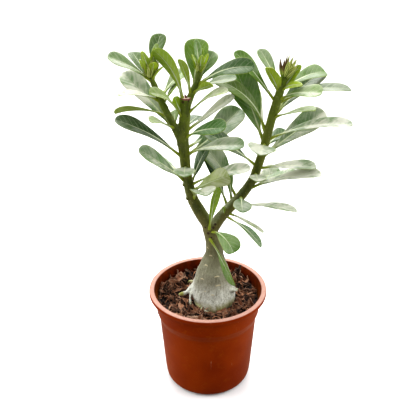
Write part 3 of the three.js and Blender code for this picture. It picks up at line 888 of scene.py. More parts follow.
@dataclass(frozen=True)
class LeafFinish:
    """A desert rose leaf: leathery and glossy above with a pale midrib and side veins, olive below, with a
    painted highlight where it faces the sky.
    """

    name: str = "desert_rose_leaf"
    green: str = "447f10"
    deep: str = "204202"
    highlight_pale: str = "dfddd0"
    young: str = "a8c018"
    vein: str = "d6dfb8"
    edge: str = "98a42c"
    below: str = "788a26"
    below_pale: str = "a2b066"
    stalk: str = "8d9a26"
    vein_gap_mm: float = 5.4
    most_highlight: float = 0.84
    roughness: float = 0.36
    ior: float = 1.45

    def make(self) -> bpy.types.Material:
        """Makes the finish.

        Returns:
            The material.
        """
        material, add, shader = new_material(self.name)
        place = add("TexCoord", output="Object")
        parts = []
        for name in ("blade", "blade_mm", "leaf_look"):
            vector = add("Attribute", output="Vector", attribute_name=name)
            parts += add("SeparateXYZ", (vector,)).node.outputs
        across, along, under, across_mm, along_mm, seed, youth, shade, haze = parts
        off = add("Math", (across,), operation="ABSOLUTE")
        off_mm = add("Math", (across_mm,), operation="ABSOLUTE")
        patches, broad, fine = (
            add("TexNoise", {"Vector": place, "Scale": scale_of(mm), "Detail": 4, "Roughness": rough})
            for mm, rough in ((7, 0.6), (9, 0.6), (0.9, 0.65))
        )
        # Side veins leave the midrib every few millimetres and bend to the tip
        lean = add("Math", (off_mm, 1.25), operation="POWER")
        phase = add("Math", (lean, -0.75, along_mm), operation="MULTIPLY_ADD")
        phase = add("Math", (patches, 2.2, phase), operation="MULTIPLY_ADD")
        wave = add("Math", (phase, 2 * math.pi / self.vein_gap_mm), **TIMES)
        wave = add("MapRange", (add("Math", (wave,), operation="SINE"), 0.9, 1), **SOFT)
        side_vein = add("Math", (wave, add("MapRange", (off, 0.96, 0.6), **SOFT)), **TIMES)
        # The midrib narrows from foot to tip
        rib_edge = add("MapRange", (along, 1, 0.1, 0.1, 0.75), **SOFT)
        rib = add("Math", (off_mm, rib_edge), operation="SUBTRACT")
        rib = add("MapRange", (rib, 0.16, -0.16), **SOFT)
        rib = add("Math", (rib, add("MapRange", (along, 1, 0.9), **SOFT)), **TIMES)
        # Painted highlight: the pale glare of the bright room on the gloss is painted in feathers beside the
        # veins, thinner near the tip, on what faces the sky
        feather = add("CombineXYZ", (phase, off_mm, seed))
        feather = add("Mapping", {"Vector": feather, "Scale": (MM, MM * 0.14, MM)})
        drawn = {"Vector": feather, "Scale": scale_of(1.5), "Detail": 3, "Roughness": 0.6}
        feather = add("TexNoise", drawn)
        cloud = add("Mix", {0: 0.3, 2: broad, 3: feather})
        cloud = add("MapRange", (cloud, 0.38, 0.6, 0.34, 1.26), **SOFT)
        clouded_highlight = add("Math", (haze, cloud), **TIMES)
        clear = add("Math", (off, 0.12, along), operation="MULTIPLY_ADD")
        clear = add("MapRange", (clear, 0.5, 1, 0.82, 0.697), **SOFT)
        skyward = add("SeparateXYZ", (add("NewGeometry", output="Normal"),), "Z")
        skyward = add("MapRange", (skyward, 0.4, 0.98, 0.28, 1.12), **SOFT)
        highlight_share = add("Math", (add("Math", (clouded_highlight, clear), **TIMES), skyward), **TIMES)
        highlight_share = add("Math", (highlight_share, self.most_highlight), operation="MINIMUM")
        shaded = add("Math", (shade, add("MapRange", (along, 0.3, 0.9, 0, 0.5), **SOFT)), **TIMES)
        # Each coat is where it lies, how strong it is, and its colour
        faces = []
        for colour, coats in (
            (
                self.green,
                (
                    # A leaf's shade is partly its own darker green and partly painted shade where it lay in
                    # shadow
                    (shade, 1, self.deep),
                    (youth, 1, self.young),
                    (add("MapRange", (patches, 0.38, 0.66), **SOFT), 0.4, self.deep),
                    (highlight_share, 1, self.highlight_pale),
                    (add("MapRange", (fine, 0.52, 0.72), **SOFT), 0.1, self.highlight_pale),
                    (side_vein, 0.2, self.vein),
                    (rib, 0.9, self.vein),
                ),
            ),
            (
                self.below,
                (
                    (add("MapRange", (patches, 0.36, 0.62), **SOFT), 1, self.below_pale),
                    (add("MapRange", (feather, 0.45, 0.65), **SOFT), 0.35, self.below_pale),
                    (shaded, 1, self.green),
                    (clouded_highlight, 0.26, self.highlight_pale),
                    (youth, 0.8, self.young),
                    (side_vein, 0.22, self.vein),
                    (rib, 0.8, self.vein),
                ),
            ),
        ):
            for share, strength, coat in coats:
                share = add("Math", (share, strength), **TIMES)
                colour = add("Mix", {0: share, 6: colour, 7: coat}, **COLOURS)
            faces.append(colour)
        colour, lower = faces
        for share, coat in (
            (add("MapRange", (under, 0.35, 0.65), **SOFT), lower),
            (add("MapRange", (off, 0.92, 1, 0, 0.65), **SOFT), self.edge),
            (add("MapRange", (along, 0.3, 0.08), **SOFT), self.stalk),
        ):
            colour = add("Mix", {0: share, 6: colour, 7: coat}, **COLOURS)
        rough = add("Math", (fine, 0.16, self.roughness - 0.08), operation="MULTIPLY_ADD")
        rough = add("Math", (under, 0.1, rough), operation="MULTIPLY_ADD")
        groove = add("Math", (1, side_vein), operation="SUBTRACT")
        relief = add("Bump", {"Height": groove, "Distance": 0.07 * MM})
        channel = add("Math", (1, rib), operation="SUBTRACT")
        for pattern, depth in ((channel, 0.25), (fine, 0.05), (patches, 0.5)):
            relief = add("Bump", {"Height": pattern, "Distance": depth * MM, "Normal": relief})
        set_inputs(shader, {"Base Color": colour, "Roughness": rough, "Normal": relief, "IOR": self.ior})
        set_inputs(shader, {"Specular IOR Level": 0.35, "Coat Weight": 0.2, "Coat Roughness": 0.24})
        return material


@dataclass(frozen=True)
class BudFinish:
    """Young flower buds: waxy yellow-green scales, striped along, with purple-brown tips."""

    name: str = "waxy_young_bud"
    green: str = "dde088"
    deep: str = "6f8422"
    purple: str = "5e3628"
    frost: str = "d4dc9a"
    stripes: int = 5

    def make(self) -> bpy.types.Material:
        """Makes the finish.

        Returns:
            The material.
        """
        material, add, shader = new_material(self.name)
        place = add("TexCoord", output="Object")
        bud = add("Attribute", output="Vector", attribute_name="bud")
        along, around, purple = add("SeparateXYZ", (bud,)).node.outputs
        stripes = add("Math", (around, self.stripes * 2 * math.pi), **TIMES)
        stripes = add("Math", (stripes,), operation="SINE")
        tip = add("Math", (add("MapRange", (along, 0.15, 0.6), **SOFT), purple), **TIMES)
        frost = add("TexNoise", {"Vector": place, "Scale": scale_of(1.2), "Detail": 3, "Roughness": 0.55})
        colour = self.green
        for share, coat in (
            (add("MapRange", (stripes, -0.6, 0.5, 0, 0.9), **SOFT), self.deep),
            (tip, self.purple),
            (add("MapRange", (frost, 0.5, 0.7, 0, 0.3), **SOFT), self.frost),
        ):
            colour = add("Mix", {0: share, 6: colour, 7: coat}, **COLOURS)
        relief = add("Bump", {"Height": stripes, "Distance": 0.15 * MM})
        set_inputs(shader, {"Base Color": colour, "Normal": relief})
        set_inputs(shader, {"Roughness": 0.38, "Specular IOR Level": 0.6})
        return material


@dataclass(frozen=True)
class CutFinish:
    """The cut end of a branch: pale dried pith inside a thin red-brown ring of bark."""

    name: str = "dried_cut_wood"
    pith: str = "e9d6c6"
    ring: str = "8a4a42"
    spike: str = "6e3a32"

    def make(self) -> bpy.types.Material:
        """Makes the finish.

        Returns:
            The material.
        """
        material, add, shader = new_material(self.name)
        place = add("TexCoord", output="Object")
        cut = add("Attribute", output="Vector", attribute_name="cut")
        out, dark = add("SeparateXYZ", (cut,)).node.outputs[:2]
        grains = add("TexNoise", {"Vector": place, "Scale": scale_of(0.7), "Detail": 4, "Roughness": 0.6})
        edge = add("Math", (grains, 0.3, out), operation="MULTIPLY_ADD")
        colour = self.pith
        for share, coat in (
            (add("MapRange", (edge, 0.86, 1.12), **SOFT), self.ring),
            (add("MapRange", (grains, 0.5, 0.75, 0, 0.5), **SOFT), self.ring),
            (dark, self.spike),
        ):
            colour = add("Mix", {0: share, 6: colour, 7: coat}, **COLOURS)
        relief = add("Bump", {"Height": grains, "Distance": 0.4 * MM})
        set_inputs(shader, {"Base Color": colour, "Normal": relief, "Roughness": 0.75})
        return material


def finish_piece(piece: bpy.types.Object, material: bpy.types.Material, slot: str, *nodes: str) -> None:
    """Dresses a piece, lets it ride on the plant and stand for CAD nodes.

    Args:
        piece: The object.
        material: Its finish.
        slot: The record's material slot; not used.
        *nodes: CAD nodes that it stands for.
    """
    piece.data.materials.clear()
    piece.data.materials.append(material)
    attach(piece, "root")
    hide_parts(*nodes)
    triangles = sum(len(face.vertices) - 2 for face in piece.data.polygons)
    log.info("%s: %d triangles", piece.name, triangles)


@dataclass
class GrowPot:
    """The moulded 12 cm pot, in mm."""

    rim_radius: float = 60.0
    height: float = 108.5
    sides: int = 160
    drain_count: int = 4
    drain_radius: float = 4.5
    drain_ring: float = 27.0
    channel_width: float = 10.0
    channel_depth: float = 1.2
    channel_start: float = 18.0
    channel_end: float = 50.0
    drain_sides: int = 40
    drain_length: float = 12.0
    floor_middle: float = 1.2
    sharp_edge: float = 38.0
    finish: PolypropyleneFinish = field(default_factory=PolypropyleneFinish)

    def profile(self) -> list[tuple[float, float]]:
        """Gives the wall's outline, up the outside and down the inside.

        Returns:
            Radius and height of each point in mm.
        """
        top, rim = self.height, self.rim_radius
        outside = [
            (12, 0.0),
            (24, 0.0),
            (34.6, 0.0),
            (36.4, 0.15),
            (38.6, 0.6),
            (41.0, 1.5),
            (43.0, 3.1),
            (44.3, 5.4),
            (44.9, 8.4),
            (45.6, 14),
            (46.8, 30),
            (48.1, 48),
            (49.3, 64),
            (50.0, 75),
            (50.2, 77.6),
            (50.55, 78.3),
            (51.8, 82.0),
            (52.6, 84.4),
            (52.85, 85.2),
            (52.9, 86.2),
            (53.2, 94),
            (53.5, top - 8),
            (53.9, top - 6),
            (54.6, top - 4.5),
            (55.2, top - 3.4),
            (57.2, top - 2.7),
            (58.2, top - 2.7),
            (58.6, top - 3.1),
            (58.7, top - 4.0),
            (58.9, top - 4.3),
            (59.4, top - 4.35),
            (59.8, top - 4.2),
            (59.95, top - 3.8),
            (rim, top - 2.4),
            (rim - 0.03, top - 1.1),
            (rim - 0.25, top - 0.5),
            (rim - 0.7, top - 0.12),
            (rim - 1.4, top),
        ]
        inside = [
            (57.2, top),
            (55.9, top - 0.05),
            (55.1, top - 0.3),
            (54.5, top - 0.9),
            (53.7, top - 2.2),
            (52.9, top - 4.2),
            (52.3, top - 6.6),
            (52.0, top - 9),
            (51.8, 94),
            (51.5, 85.6),
            (51.2, 84.3),
            (49.1, 78.4),
            (48.8, 77),
            (48.0, 64),
            (46.8, 48),
            (45.5, 30),
            (44.3, 14),
            (43.5, 8.4),
            (42.8, 5.8),
            (41.4, 3.9),
            (39.4, 2.8),
            (36.5, 2.4),
            (24, 2.4),
            (12, 2.4),
        ]
        return outside + inside

    def build(self) -> bpy.types.Object:
        """Draws the wall up from a circle by extruding and resizing it, and cuts the holes and channels.

        Returns:
            The dressed pot.
        """
        clear_selection()
        outline = self.profile()
        radius, height = outline[0]
        start = (0, 0, height * MM)
        bpy.ops.mesh.primitive_circle_add(vertices=self.sides, radius=radius * MM, location=start)
        pot = bpy.context.object
        pot.name = "grow_pot"
        bpy.ops.object.transform_apply(location=True, rotation=True, scale=True)
        bpy.ops.object.mode_set(mode="EDIT")
        bpy.ops.mesh.select_all(action="SELECT")
        for new_radius, new_height in outline[1:]:
            share = new_radius / radius
            rise = {"value": (0, 0, (new_height - height) * MM)}
            bpy.ops.mesh.extrude_edges_move(TRANSFORM_OT_translate=rise)
            bpy.ops.transform.resize(value=(share, share, 1), center_override=(0, 0, new_height * MM))
            radius, height = new_radius, new_height
        bpy.ops.object.mode_set(mode="OBJECT")
        # The open rings under and over the floor are filled and given a middle point
        mesh = bmesh.new()
        mesh.from_mesh(pot.data)
        loose = [edge for edge in mesh.edges if edge.is_boundary]
        for low in (True, False):
            ring = [edge for edge in loose if (edge.verts[0].co.z < self.floor_middle * MM) == low]
            made = bmesh.ops.edgeloop_fill(mesh, edges=ring)
            bmesh.ops.poke(mesh, faces=made["faces"])
        bmesh.ops.recalc_face_normals(mesh, faces=mesh.faces)
        mesh.to_mesh(pot.data)
        mesh.free()
        self.cut_drains(pot)
        smooth_shaded(pot, self.sharp_edge)
        finish_piece(pot, self.finish.make(), "pot_plastic", "pot")
        return pot

    def cut_drains(self, pot: bpy.types.Object) -> None:
        """Cuts the drain holes and the shallow channels under the floor.

        Args:
            pot: The pot's wall.
        """
        reach = self.channel_end - self.channel_start
        middle = self.channel_start + reach / 2
        for k in range(self.drain_count):
            angle = (k + 0.5) * 2 * math.pi / self.drain_count
            heading = Vector((math.cos(angle), math.sin(angle), 0))
            clear_selection()
            bpy.ops.mesh.primitive_cylinder_add(
                vertices=self.drain_sides,
                radius=self.drain_radius * MM,
                depth=self.drain_length * MM,
                location=(heading * self.drain_ring + Vector((0, 0, 1))) * MM,
            )
            hole = bpy.context.object
            bpy.ops.mesh.primitive_cube_add(
                size=1,
                location=heading * middle * MM,
                rotation=(0, 0, angle),
                scale=(reach * MM, self.channel_width * MM, self.channel_depth * 2 * MM),
            )
            channel = bpy.context.object
            for cutter in (channel, hole):
                settings = {"operation": "DIFFERENCE", "object": cutter, "solver": "EXACT"}
                apply_modifier(pot, "BOOLEAN", settings)
                bpy.data.objects.remove(cutter)


def in_disc(random: np.random.Generator, inner: float, outer: float) -> tuple[float, float]:
    """Draws a place on a ring, in mm.

    Args:
        random: The seeded generator.
        inner: Inner radius.
        outer: Outer radius.

    Returns:
        The place's x and y.
    """
    angle = random.uniform(0, 2 * math.pi)
    radius = math.sqrt(random.uniform(inner**2, outer**2))
    return math.cos(angle) * radius, math.sin(angle) * radius


def turned(points: np.ndarray, tilt_x: float, tilt_y: float, spin: float) -> np.ndarray:
    """Turns points about X, then Y, then Z.

    Args:
        points: Rows of x, y and z.
        tilt_x: Turn about X in radians.
        tilt_y: Turn about Y in radians.
        spin: Turn about Z in radians.

    Returns:
        The turned rows.
    """
    cx, sx, cy, sy, cz, sz = (f(a) for a in (tilt_x, tilt_y, spin) for f in (math.cos, math.sin))
    about_x = np.array([[1, 0, 0], [0, cx, -sx], [0, sx, cx]])
    about_y = np.array([[cy, 0, sy], [0, 1, 0], [-sy, 0, cy]])
    about_z = np.array([[cz, -sz, 0], [sz, cz, 0], [0, 0, 1]])
    return points @ (about_z @ about_y @ about_x).T


@dataclass(frozen=True)
class Litter:
    """One kind of piece strewn on the peat: its name, its count, and ranges of its sizes and looks.

    Length and lift are in mm, width and height are shares of the form's own, and the tilt is in radians.
    Straw is the share of pieces in straw colour, and shade has the two numbers of a beta distribution.
    """

    name: str
    count: int
    length: tuple[float, float]
    width: tuple[float, float]
    height: tuple[float, float]
    lift: tuple[float, float]
    tilt: float
    straw: float
    shade: tuple[float, float]


@dataclass
class PottingMix:
    """Peat with bark chips, splinters and fibres on it, in mm."""

    level: float = 94.0
    radius: float = 51.2
    wall: tuple = ((36, 2.7), (41.0, 5.4), (43.2, 9), (48.4, 77.5), (51, 85.4), (51.4, 91))
    sides: int = 120
    rings: int = 46
    swell_width: float = 17.0
    swell_height: float = 2.2
    crumb_width: float = 3.2
    crumb_height: float = 1.3
    bank_height: float = 3.4
    chips: Litter = Litter(
        "bark_chips", 250, (8, 19), (0.65, 1.25), (1, 2.1), (-0.8, 4.6), 1.1, 0.02, (0.8, 1.2)
    )
    splinters: Litter = Litter(
        "bark_splinters", 200, (4, 10), (0.4, 1), (0.7, 1.6), (0, 3.4), 1, 0.06, (0.9, 1.5)
    )
    fibres: Litter = Litter(
        "bark_fibres", 420, (5, 13), (0.8, 1.2), (0.6, 1.6), (1.2, 3.8), 0.4, 0.1, (1.9, 1.2)
    )
    chip_forms: int = 9
    chip_curl: float = 1.1
    chip_twist: float = 0.9
    sharp_edge: float = 24.0
    fibre_forms: int = 6
    fibre_points: int = 10
    posed_chips: tuple = (
        (30, 32, 103, 21, (1.2, -0.9, 0.5), 0.1),
        (-31.5, -36, 99.5, 15, (0.7, 0.1, 0.5), 0.92),
        (-36, 22, 100.5, 13, (1.1, 0.2, 0.15), 0.7),
        (34, -20, 99, 18, (0.5, -0.4, 2.2), 0.45),
        (-8, -42, 98.5, 19, (0.6, 0.1, 2.7), 0.5),
        (-32, 8, 98.5, 16, (0.4, -0.3, 0.1), 0.7),
    )
    trunk_x: float = 6.2
    trunk_y: float = -3.2
    trunk_radius: float = 20.0
    litter_ring: tuple[float, float] = (12.0, 50.6)
    calm_width: float = 12.0
    straw_share: float = 0.8
    peat: PeatFinish = field(default_factory=PeatFinish)
    bark: ChipFinish = field(default_factory=ChipFinish)

    def surface(self, x: float, y: float) -> float:
        """Gives the height of the peat at a place.

        Args:
            x: The place's x in mm.
            y: The place's y in mm.

        Returns:
            The height in mm.
        """
        swell = noise.noise(Vector((x, y, 3.0)) / self.swell_width) * self.swell_height
        crumbs = noise.fractal(Vector((x, y, 9.0)) / self.crumb_width, 0.8, 2.1, 4) * self.crumb_height
        bank = self.bank_height * (math.hypot(x, y) / self.radius) ** 4
        return self.level - 1.2 + bank + swell + crumbs

    def build_peat(self) -> bpy.types.Object:
        """Fills the pot with peat: a tube of rings up the wall and in over the top, displaced by crumbs.

        Returns:
            The dressed peat.
        """
        angles = np.linspace(0, 2 * math.pi, self.sides, endpoint=False)
        rings = [[(r * math.cos(a), r * math.sin(a), z) for a in angles] for r, z in self.wall]
        for k in range(self.rings):
            r = self.radius * (1 - k / self.rings) + 0.15
            rings.append([(r * math.cos(a), r * math.sin(a), self.level) for a in angles])
        points = np.array(rings)
        for ring in points[len(self.wall) :]:
            for p in ring:
                p[2] = self.surface(p[0], p[1])
        peat = tube("peat", points * MM)
        smooth_shaded(peat)
        finish_piece(peat, self.peat.make(), "potting_mix", "potting_mix")
        return peat

    def chip_master(self, number: int, random: np.random.Generator) -> bpy.types.Object:
        """Models one bark chip: a small grid made solid, drawn in to ragged ends, curled and twisted.

        Args:
            number: The chip's number.
            random: The seeded generator.

        Returns:
            The chip, 1 long, at the origin.
        """
        clear_selection()
        bpy.ops.mesh.primitive_grid_add(x_subdivisions=7, y_subdivisions=3, size=1)
        chip = bpy.context.object
        chip.name = f"chip_form_{number}"
        apply_modifier(chip, "SOLIDIFY", {"thickness": 0.03 + 0.018 * (number % 3), "offset": 0})
        rows = points_of(chip.data)
        rim = np.maximum(np.abs(rows[:, 0]), np.abs(rows[:, 1])) * 2
        set_vector(chip.data, "chip", np.column_stack([rows[:, 1], rim, rim * 0]))
        curl = random.uniform(-self.chip_curl, self.chip_curl)
        twist = random.uniform(-self.chip_twist, self.chip_twist)
        shift = random.uniform(0, 40)
        for p in rows:
            u = p[0] * 2
            p[1] *= (0.24 if number % 2 else 0.42) * (1 - 0.72 * abs(u) ** 1.4)
            # One plain noise per axis, because noise_vector gives other values in each run
            x, y, z = p[0] * 5 + shift, p[1] * 7, p[2] * 2
            rough = [noise.noise(Vector((x, y, z + 11 * axis))) for axis in range(3)]
            p += np.array(rough) * np.array((0.09, 0.11, 0.035))
            p[2] += curl * p[0] ** 2 + 0.9 * p[1] ** 2 * curl
            y, z = p[1], p[2]
            p[1] = y * math.cos(twist * u) - z * math.sin(twist * u)
            p[2] = y * math.sin(twist * u) + z * math.cos(twist * u)
        set_points(chip.data, rows)
        return chip

    def scatter(
        self, masters: list[bpy.types.Object], kind: Litter, random: np.random.Generator
    ) -> list[bpy.types.Object]:
        """Copies forms over the peat.

        Args:
            masters: The forms to copy.
            kind: What is strewn.
            random: The seeded generator.

        Returns:
            The copies.
        """
        copies = []
        while len(copies) < kind.count:
            x, y = in_disc(random, *self.litter_ring)
            gap = math.hypot(x - self.trunk_x, y - self.trunk_y) - self.trunk_radius
            if gap < 0:
                continue
            # Pieces close to the foot lie flatter, so that they leave it in view
            calm = min(1.0, 0.2 + gap / self.calm_width)
            chip = copy_of(masters[len(copies) % len(masters)], f"{kind.name}_{len(copies)}")
            length = random.uniform(*kind.length)
            share = (1, random.uniform(*kind.width), random.uniform(*kind.height))
            tilt = kind.tilt * calm
            turn_x = random.uniform(-0.6, 0.6) * calm
            turn_y = random.uniform(-tilt, tilt)
            turn_z = random.uniform(0, 2 * math.pi)
            place = (x, y, self.surface(x, y) + random.uniform(*kind.lift) * calm)
            shade = float(np.clip(random.beta(*kind.shade), 0, 1))
            straw = self.straw_share if random.random() < kind.straw else 0.0
            self.lay(chip, place, length, share, (turn_x, turn_y, turn_z), (shade, straw))
            copies.append(chip)
        return copies

    def lay(
        self,
        chip: bpy.types.Object,
        place: Sequence[float],
        length: float,
        share: Sequence[float],
        turns: Sequence[float],
        looks: Sequence[float],
    ) -> None:
        """Sizes, turns and lays one chip on the peat, inside the pot's wall.

        Args:
            chip: Copy of a form.
            place: Where its middle lies, in mm.
            length: Its length.
            share: Scale along each axis beside its length.
            turns: Turns about X, Y and Z.
            looks: Its shade and its share of straw colour.
        """
        form = points_of(chip.data)
        flat = np.zeros(len(form) * 3)
        if "chip" in chip.data.attributes:
            chip.data.attributes["chip"].data.foreach_get("vector", flat)
        across, rim, _ = flat.reshape(-1, 3).T
        form = turned(form * length * np.array(share), *turns) + np.array(place)
        out = np.hypot(form[:, 0], form[:, 1])
        pull = np.minimum(1, self.radius / np.maximum(out, 1))
        form[:, 0] *= pull
        form[:, 1] *= pull
        set_points(chip.data, form * MM)
        shade, straw = looks
        # Painted highlight: each chip's rim is painted paler, more so on a pale chip, in the straw colour
        # that straw pieces have
        straw_and_rim_highlight = np.maximum(straw, np.clip(rim * 3 - 2.3, 0, 0.6) * (0.1 + 0.9 * shade))
        look = np.column_stack([np.full(len(form), shade), across * length / 10, straw_and_rim_highlight])
        set_vector(chip.data, "chip", look)

    def fibre_master(self, number: int, random: np.random.Generator) -> bpy.types.Object:
        """Models one curled fibre as a thin tube.

        Args:
            number: The fibre's number.
            random: The seeded generator.

        Returns:
            The fibre, 1 long, at the origin.
        """
        last = self.fibre_points - 1
        points = []
        angle = x = y = 0.0
        for k in range(self.fibre_points):
            angle += random.uniform(-0.75, 0.75)
            x += math.cos(angle) / last
            y += math.sin(angle) / last
            points.append((x - 0.5, y, 0.12 * math.sin(k * 0.5 + number)))
        line = np.array(points)
        rings = []
        for k, p in enumerate(line):
            ahead = line[min(k + 1, last)] - line[max(k - 1, 0)]
            side = np.cross(ahead, (0, 0, 1))
            side /= np.linalg.norm(side)
            up = np.cross(side, ahead)
            up /= np.linalg.norm(up)
            r = 0.05 * (1 - 0.7 * abs(2 * k / last - 1))
            turns = np.linspace(0, 2 * math.pi, 5)[:-1]
            ring = [p + r * (math.cos(a) * side + 0.3 * math.sin(a) * up) for a in turns]
            rings.append(ring)
        return tube(f"fibre_form_{number}", np.array(rings))

    def build(self) -> list[bpy.types.Object]:
        """Builds the peat, the chips, the splinters and the fibres.

        Returns:
            The dressed pieces.
        """
        random = np.random.default_rng(SEED)
        pieces = [self.build_peat()]
        forms = [self.chip_master(k, random) for k in range(self.chip_forms)]
        strands = [self.fibre_master(k, random) for k in range(self.fibre_forms)]
        bark = self.bark.make()
        for masters, kind in ((forms, self.chips), (forms, self.splinters), (strands, self.fibres)):
            copies = self.scatter(masters, kind, random)
            if kind is self.chips:
                copies += self.pose_chips(forms)
            piece = join(copies, kind.name)
            smooth_shaded(piece, self.sharp_edge)
            finish_piece(piece, bark, "potting_mix", "potting_mix")
            pieces.append(piece)
        for form in forms + strands:
            bpy.data.objects.remove(form)
        return pieces

    def pose_chips(self, forms: list[bpy.types.Object]) -> list[bpy.types.Object]:
        """Lays the chips whose places are seen well.

        Args:
            forms: The forms to copy.

        Returns:
            The copies.
        """
        copies = []
        for k, (x, y, z, length, turns, shade) in enumerate(self.posed_chips):
            copies.append(copy_of(forms[2 * k % len(forms)], f"posed_chip_{k}"))
            self.lay(copies[-1], (x, y, z), length, (1, 0.8, 1.2), turns, (shade, 0))
        return copies


@dataclass
class Wood:
    """Trunk, roots, arms and shoots as one grown piece, in mm."""

    voxel: float = 0.62
    smooth_share: float = 0.5
    smooth_rounds: int = 6
    trunk_sides: int = 96
    trunk_rings: int = 90
    stem_sides: int = 28
    ring_gap: float = 1.5
    stub_drop: float = 0.6
    lobes: int = 5
    lobe_depth: float = 0.05
    lobe_turn: float = 0.6
    rings: tuple = (
        (70, 5, -2, 5, 1),
        (80, 6, -3, 12, 1),
        (87, 6.8, -3.5, 17, 1),
        (92, 7, -3.5, 18.8, 1),
        (96, 6.8, -3.2, 20, 0.98),
        (99.5, 6.4, -2.6, 20.8, 0.95),
        (103, 5.4, -1.6, 21.7, 0.92),
        (106.5, 4.8, -0.6, 21.8, 0.9),
        (111, 4.2, 0, 21.2, 0.9),
        (117, 4.5, 0, 19.2, 0.92),
        (125, 4.9, 0, 17.6, 0.94),
        (132, 5.4, 0, 15.4, 0.95),
        (139, 5.5, 0, 12.4, 0.97),
        (148, 6.6, 0, 9.4, 1),
        (160, 6.3, 0, 8.1, 1),
        (171, 3.4, 0, 7.4, 1),
        (180, 2.4, 0, 8, 0.9),
        (185, 2, 0, 5, 0.9),
    )
    front_lines: tuple = (
        (-1.6, 140.5, 2.2),
        (-5.6, 126.5, 2),
        (8.8, 131, 2.6),
        (10.2, 121.5, 3.2),
        (9.5, 102, 1.6),
        (0, 158.5, 1.6),
        (5, 112, 2),
        (-3, 114.5, 1.4),
        (12, 147, 1.5),
        (3, 151, 1.8),
    )
    fork_scars: tuple = (
        ((5.2, -5.4, 181), 1.5),
        ((7.4, -4.6, 184.2), 1.2),
        ((0.4, -7, 175.5), 1.4),
        ((-2.4, -5.6, 181.5), 1.1),
        ((3.4, -7.4, 171), 0.9),
        ((-21.6, -7.6, 307.4), 1.3),
        ((-16.2, -7.6, 308.4), 1.1),
    )
    green_nub: tuple = (-27, -8.4, 105.6)
    pleats: tuple = ((127.5, -1.3), (124, 1.2), (134, -2.5))
    pleat_count: int = 72
    pleat_height: float = 2.6
    pleat_turn: float = 0.42
    pleat_depth: float = 0.24
    neck_x: float = 4.8
    scar_gap: float = 4.6
    scar_turn: float = 2.4
    scar_radius: float = 1.5
    scar_tone: float = -0.55
    line_half: float = 0.55
    line_count: int = 20
    age_heights: tuple = (96, 123, 150, 180, 215, 262, 335)
    age_shares: tuple = (0, 0.1, 0.24, 0.4, 0.52, 0.72, 1)
    finish: BarkFinish = field(default_factory=BarkFinish)

    def trunk(self) -> bpy.types.Object:
        """Lofts the swollen foot, neck and fork as one smooth tube.

        Returns:
            The tube.
        """
        table = np.array(self.rings, float)
        route = Route(tuple((r[1], r[2], r[0], r[3]) for r in table))
        angles = np.linspace(0, 2 * math.pi, self.trunk_sides, endpoint=False)
        rings = []
        for z in np.linspace(table[0, 0], table[-1, 0], self.trunk_rings):
            x = np.interp(z, route.line[:, 2], route.line[:, 0])
            y = np.interp(z, route.line[:, 2], route.line[:, 1])
            half = np.interp(z, table[:, 0], table[:, 3])
            depth = np.interp(z, table[:, 0], table[:, 4])
            lobes = self.lobe_depth * min(max((150 - z) / 40, 0), 1)
            ring = []
            for a in angles:
                swell = 1 + lobes * math.cos(self.lobes * a + self.lobe_turn)
                ring.append((x + math.cos(a) * half * swell, y + math.sin(a) * half * depth * swell, z))
            rings.append(ring)
        return tube("trunk_form", np.array(rings) * MM)

    def bar(self, name: str, route: Route, start: float, end: float) -> bpy.types.Object:
        """Lofts a round limb along a route.

        Args:
            name: Name of the piece.
            route: Its middle line.
            start: Distance along the route where it begins, in mm.
            end: Distance where it ends.

        Returns:
            The new object.
        """
        across = np.array((0.0, 1.0, 0.0))
        angles = np.linspace(0, 2 * math.pi, self.stem_sides, endpoint=False)
        rings = []
        for at in np.linspace(start, end, max(6, int((end - start) / self.ring_gap))):
            tangent = route.tangent(at)
            across = across - tangent * (across @ tangent)
            across /= np.linalg.norm(across)
            along = np.cross(tangent, across)
            r = route.radius(at)
            centre = route.point(at)
            rings.append([centre + r * (math.cos(a) * across + math.sin(a) * along) for a in angles])
        return tube(name, np.array(rings) * MM)

    def build(self) -> bpy.types.Object:
        """Joins the limbs, grows them together and carves bark, scars and leaf bases.

        Returns:
            The dressed wood.
        """
        limbs = [self.trunk()]
        side_routes = enumerate(ROOT_ROUTES + KNOB_ROUTES)
        limbs += [self.bar(f"side_form_{k}", route, 0, route.length) for k, route in side_routes]
        for limb, route in STEM_ROUTES.items():
            end = route.length - (self.stub_drop if limb is Limb.LEFT_STEM else 0)
            limbs.append(self.bar(f"{limb.value}_form", route, 0, end))
        wood = join(limbs, "desert_rose_wood")
        apply_modifier(wood, "REMESH", {"mode": "VOXEL", "voxel_size": self.voxel * MM, "adaptivity": 0.0})
        apply_modifier(wood, "SMOOTH", {"factor": self.smooth_share, "iterations": self.smooth_rounds})
        self.carve(wood)
        smooth_shaded(wood)
        nodes = ["trunk"] + [limb.value for limb in Limb]
        finish_piece(wood, self.finish.make(), "bark", *nodes)
        return wood

    def carve(self, wood: bpy.types.Object) -> None:
        """Moves the skin in and out for wrinkles and scars, and stores what its colours follow.

        Args:
            wood: The grown piece.
        """
        mesh = wood.data
        points = points_of(mesh) / MM
        normals = np.empty(len(points) * 3)
        mesh.vertices.foreach_get("normal", normals)
        normals = normals.reshape(-1, 3)
        push = self.wrinkles(points)
        marks = np.zeros(len(points))
        self.mark_skin(points, push, marks)
        set_points(mesh, (points + normals * push[:, None]) * MM)
        set_vector(mesh, "bark", self.tones(points, marks))

    def wrinkles(self, points: np.ndarray) -> np.ndarray:
        """Gives the height of upright wrinkles, broad swellings and pleats, stronger on the old wood.

        Args:
            points: The skin's points in mm.

        Returns:
            The height at each point in mm.
        """
        push = np.zeros(len(points))
        for k, p in enumerate(points):
            old = 1 - min(max((p[2] - 150) / 30, 0), 1)
            fine = noise.fractal(Vector((p[0], p[1], p[2] * 0.14)) / 1.9, 0.7, 2.1, 3)
            broad = noise.noise(Vector(p) / 9)
            push[k] = fine * (0.1 + 0.2 * old) + broad * (0.25 + 0.45 * old)
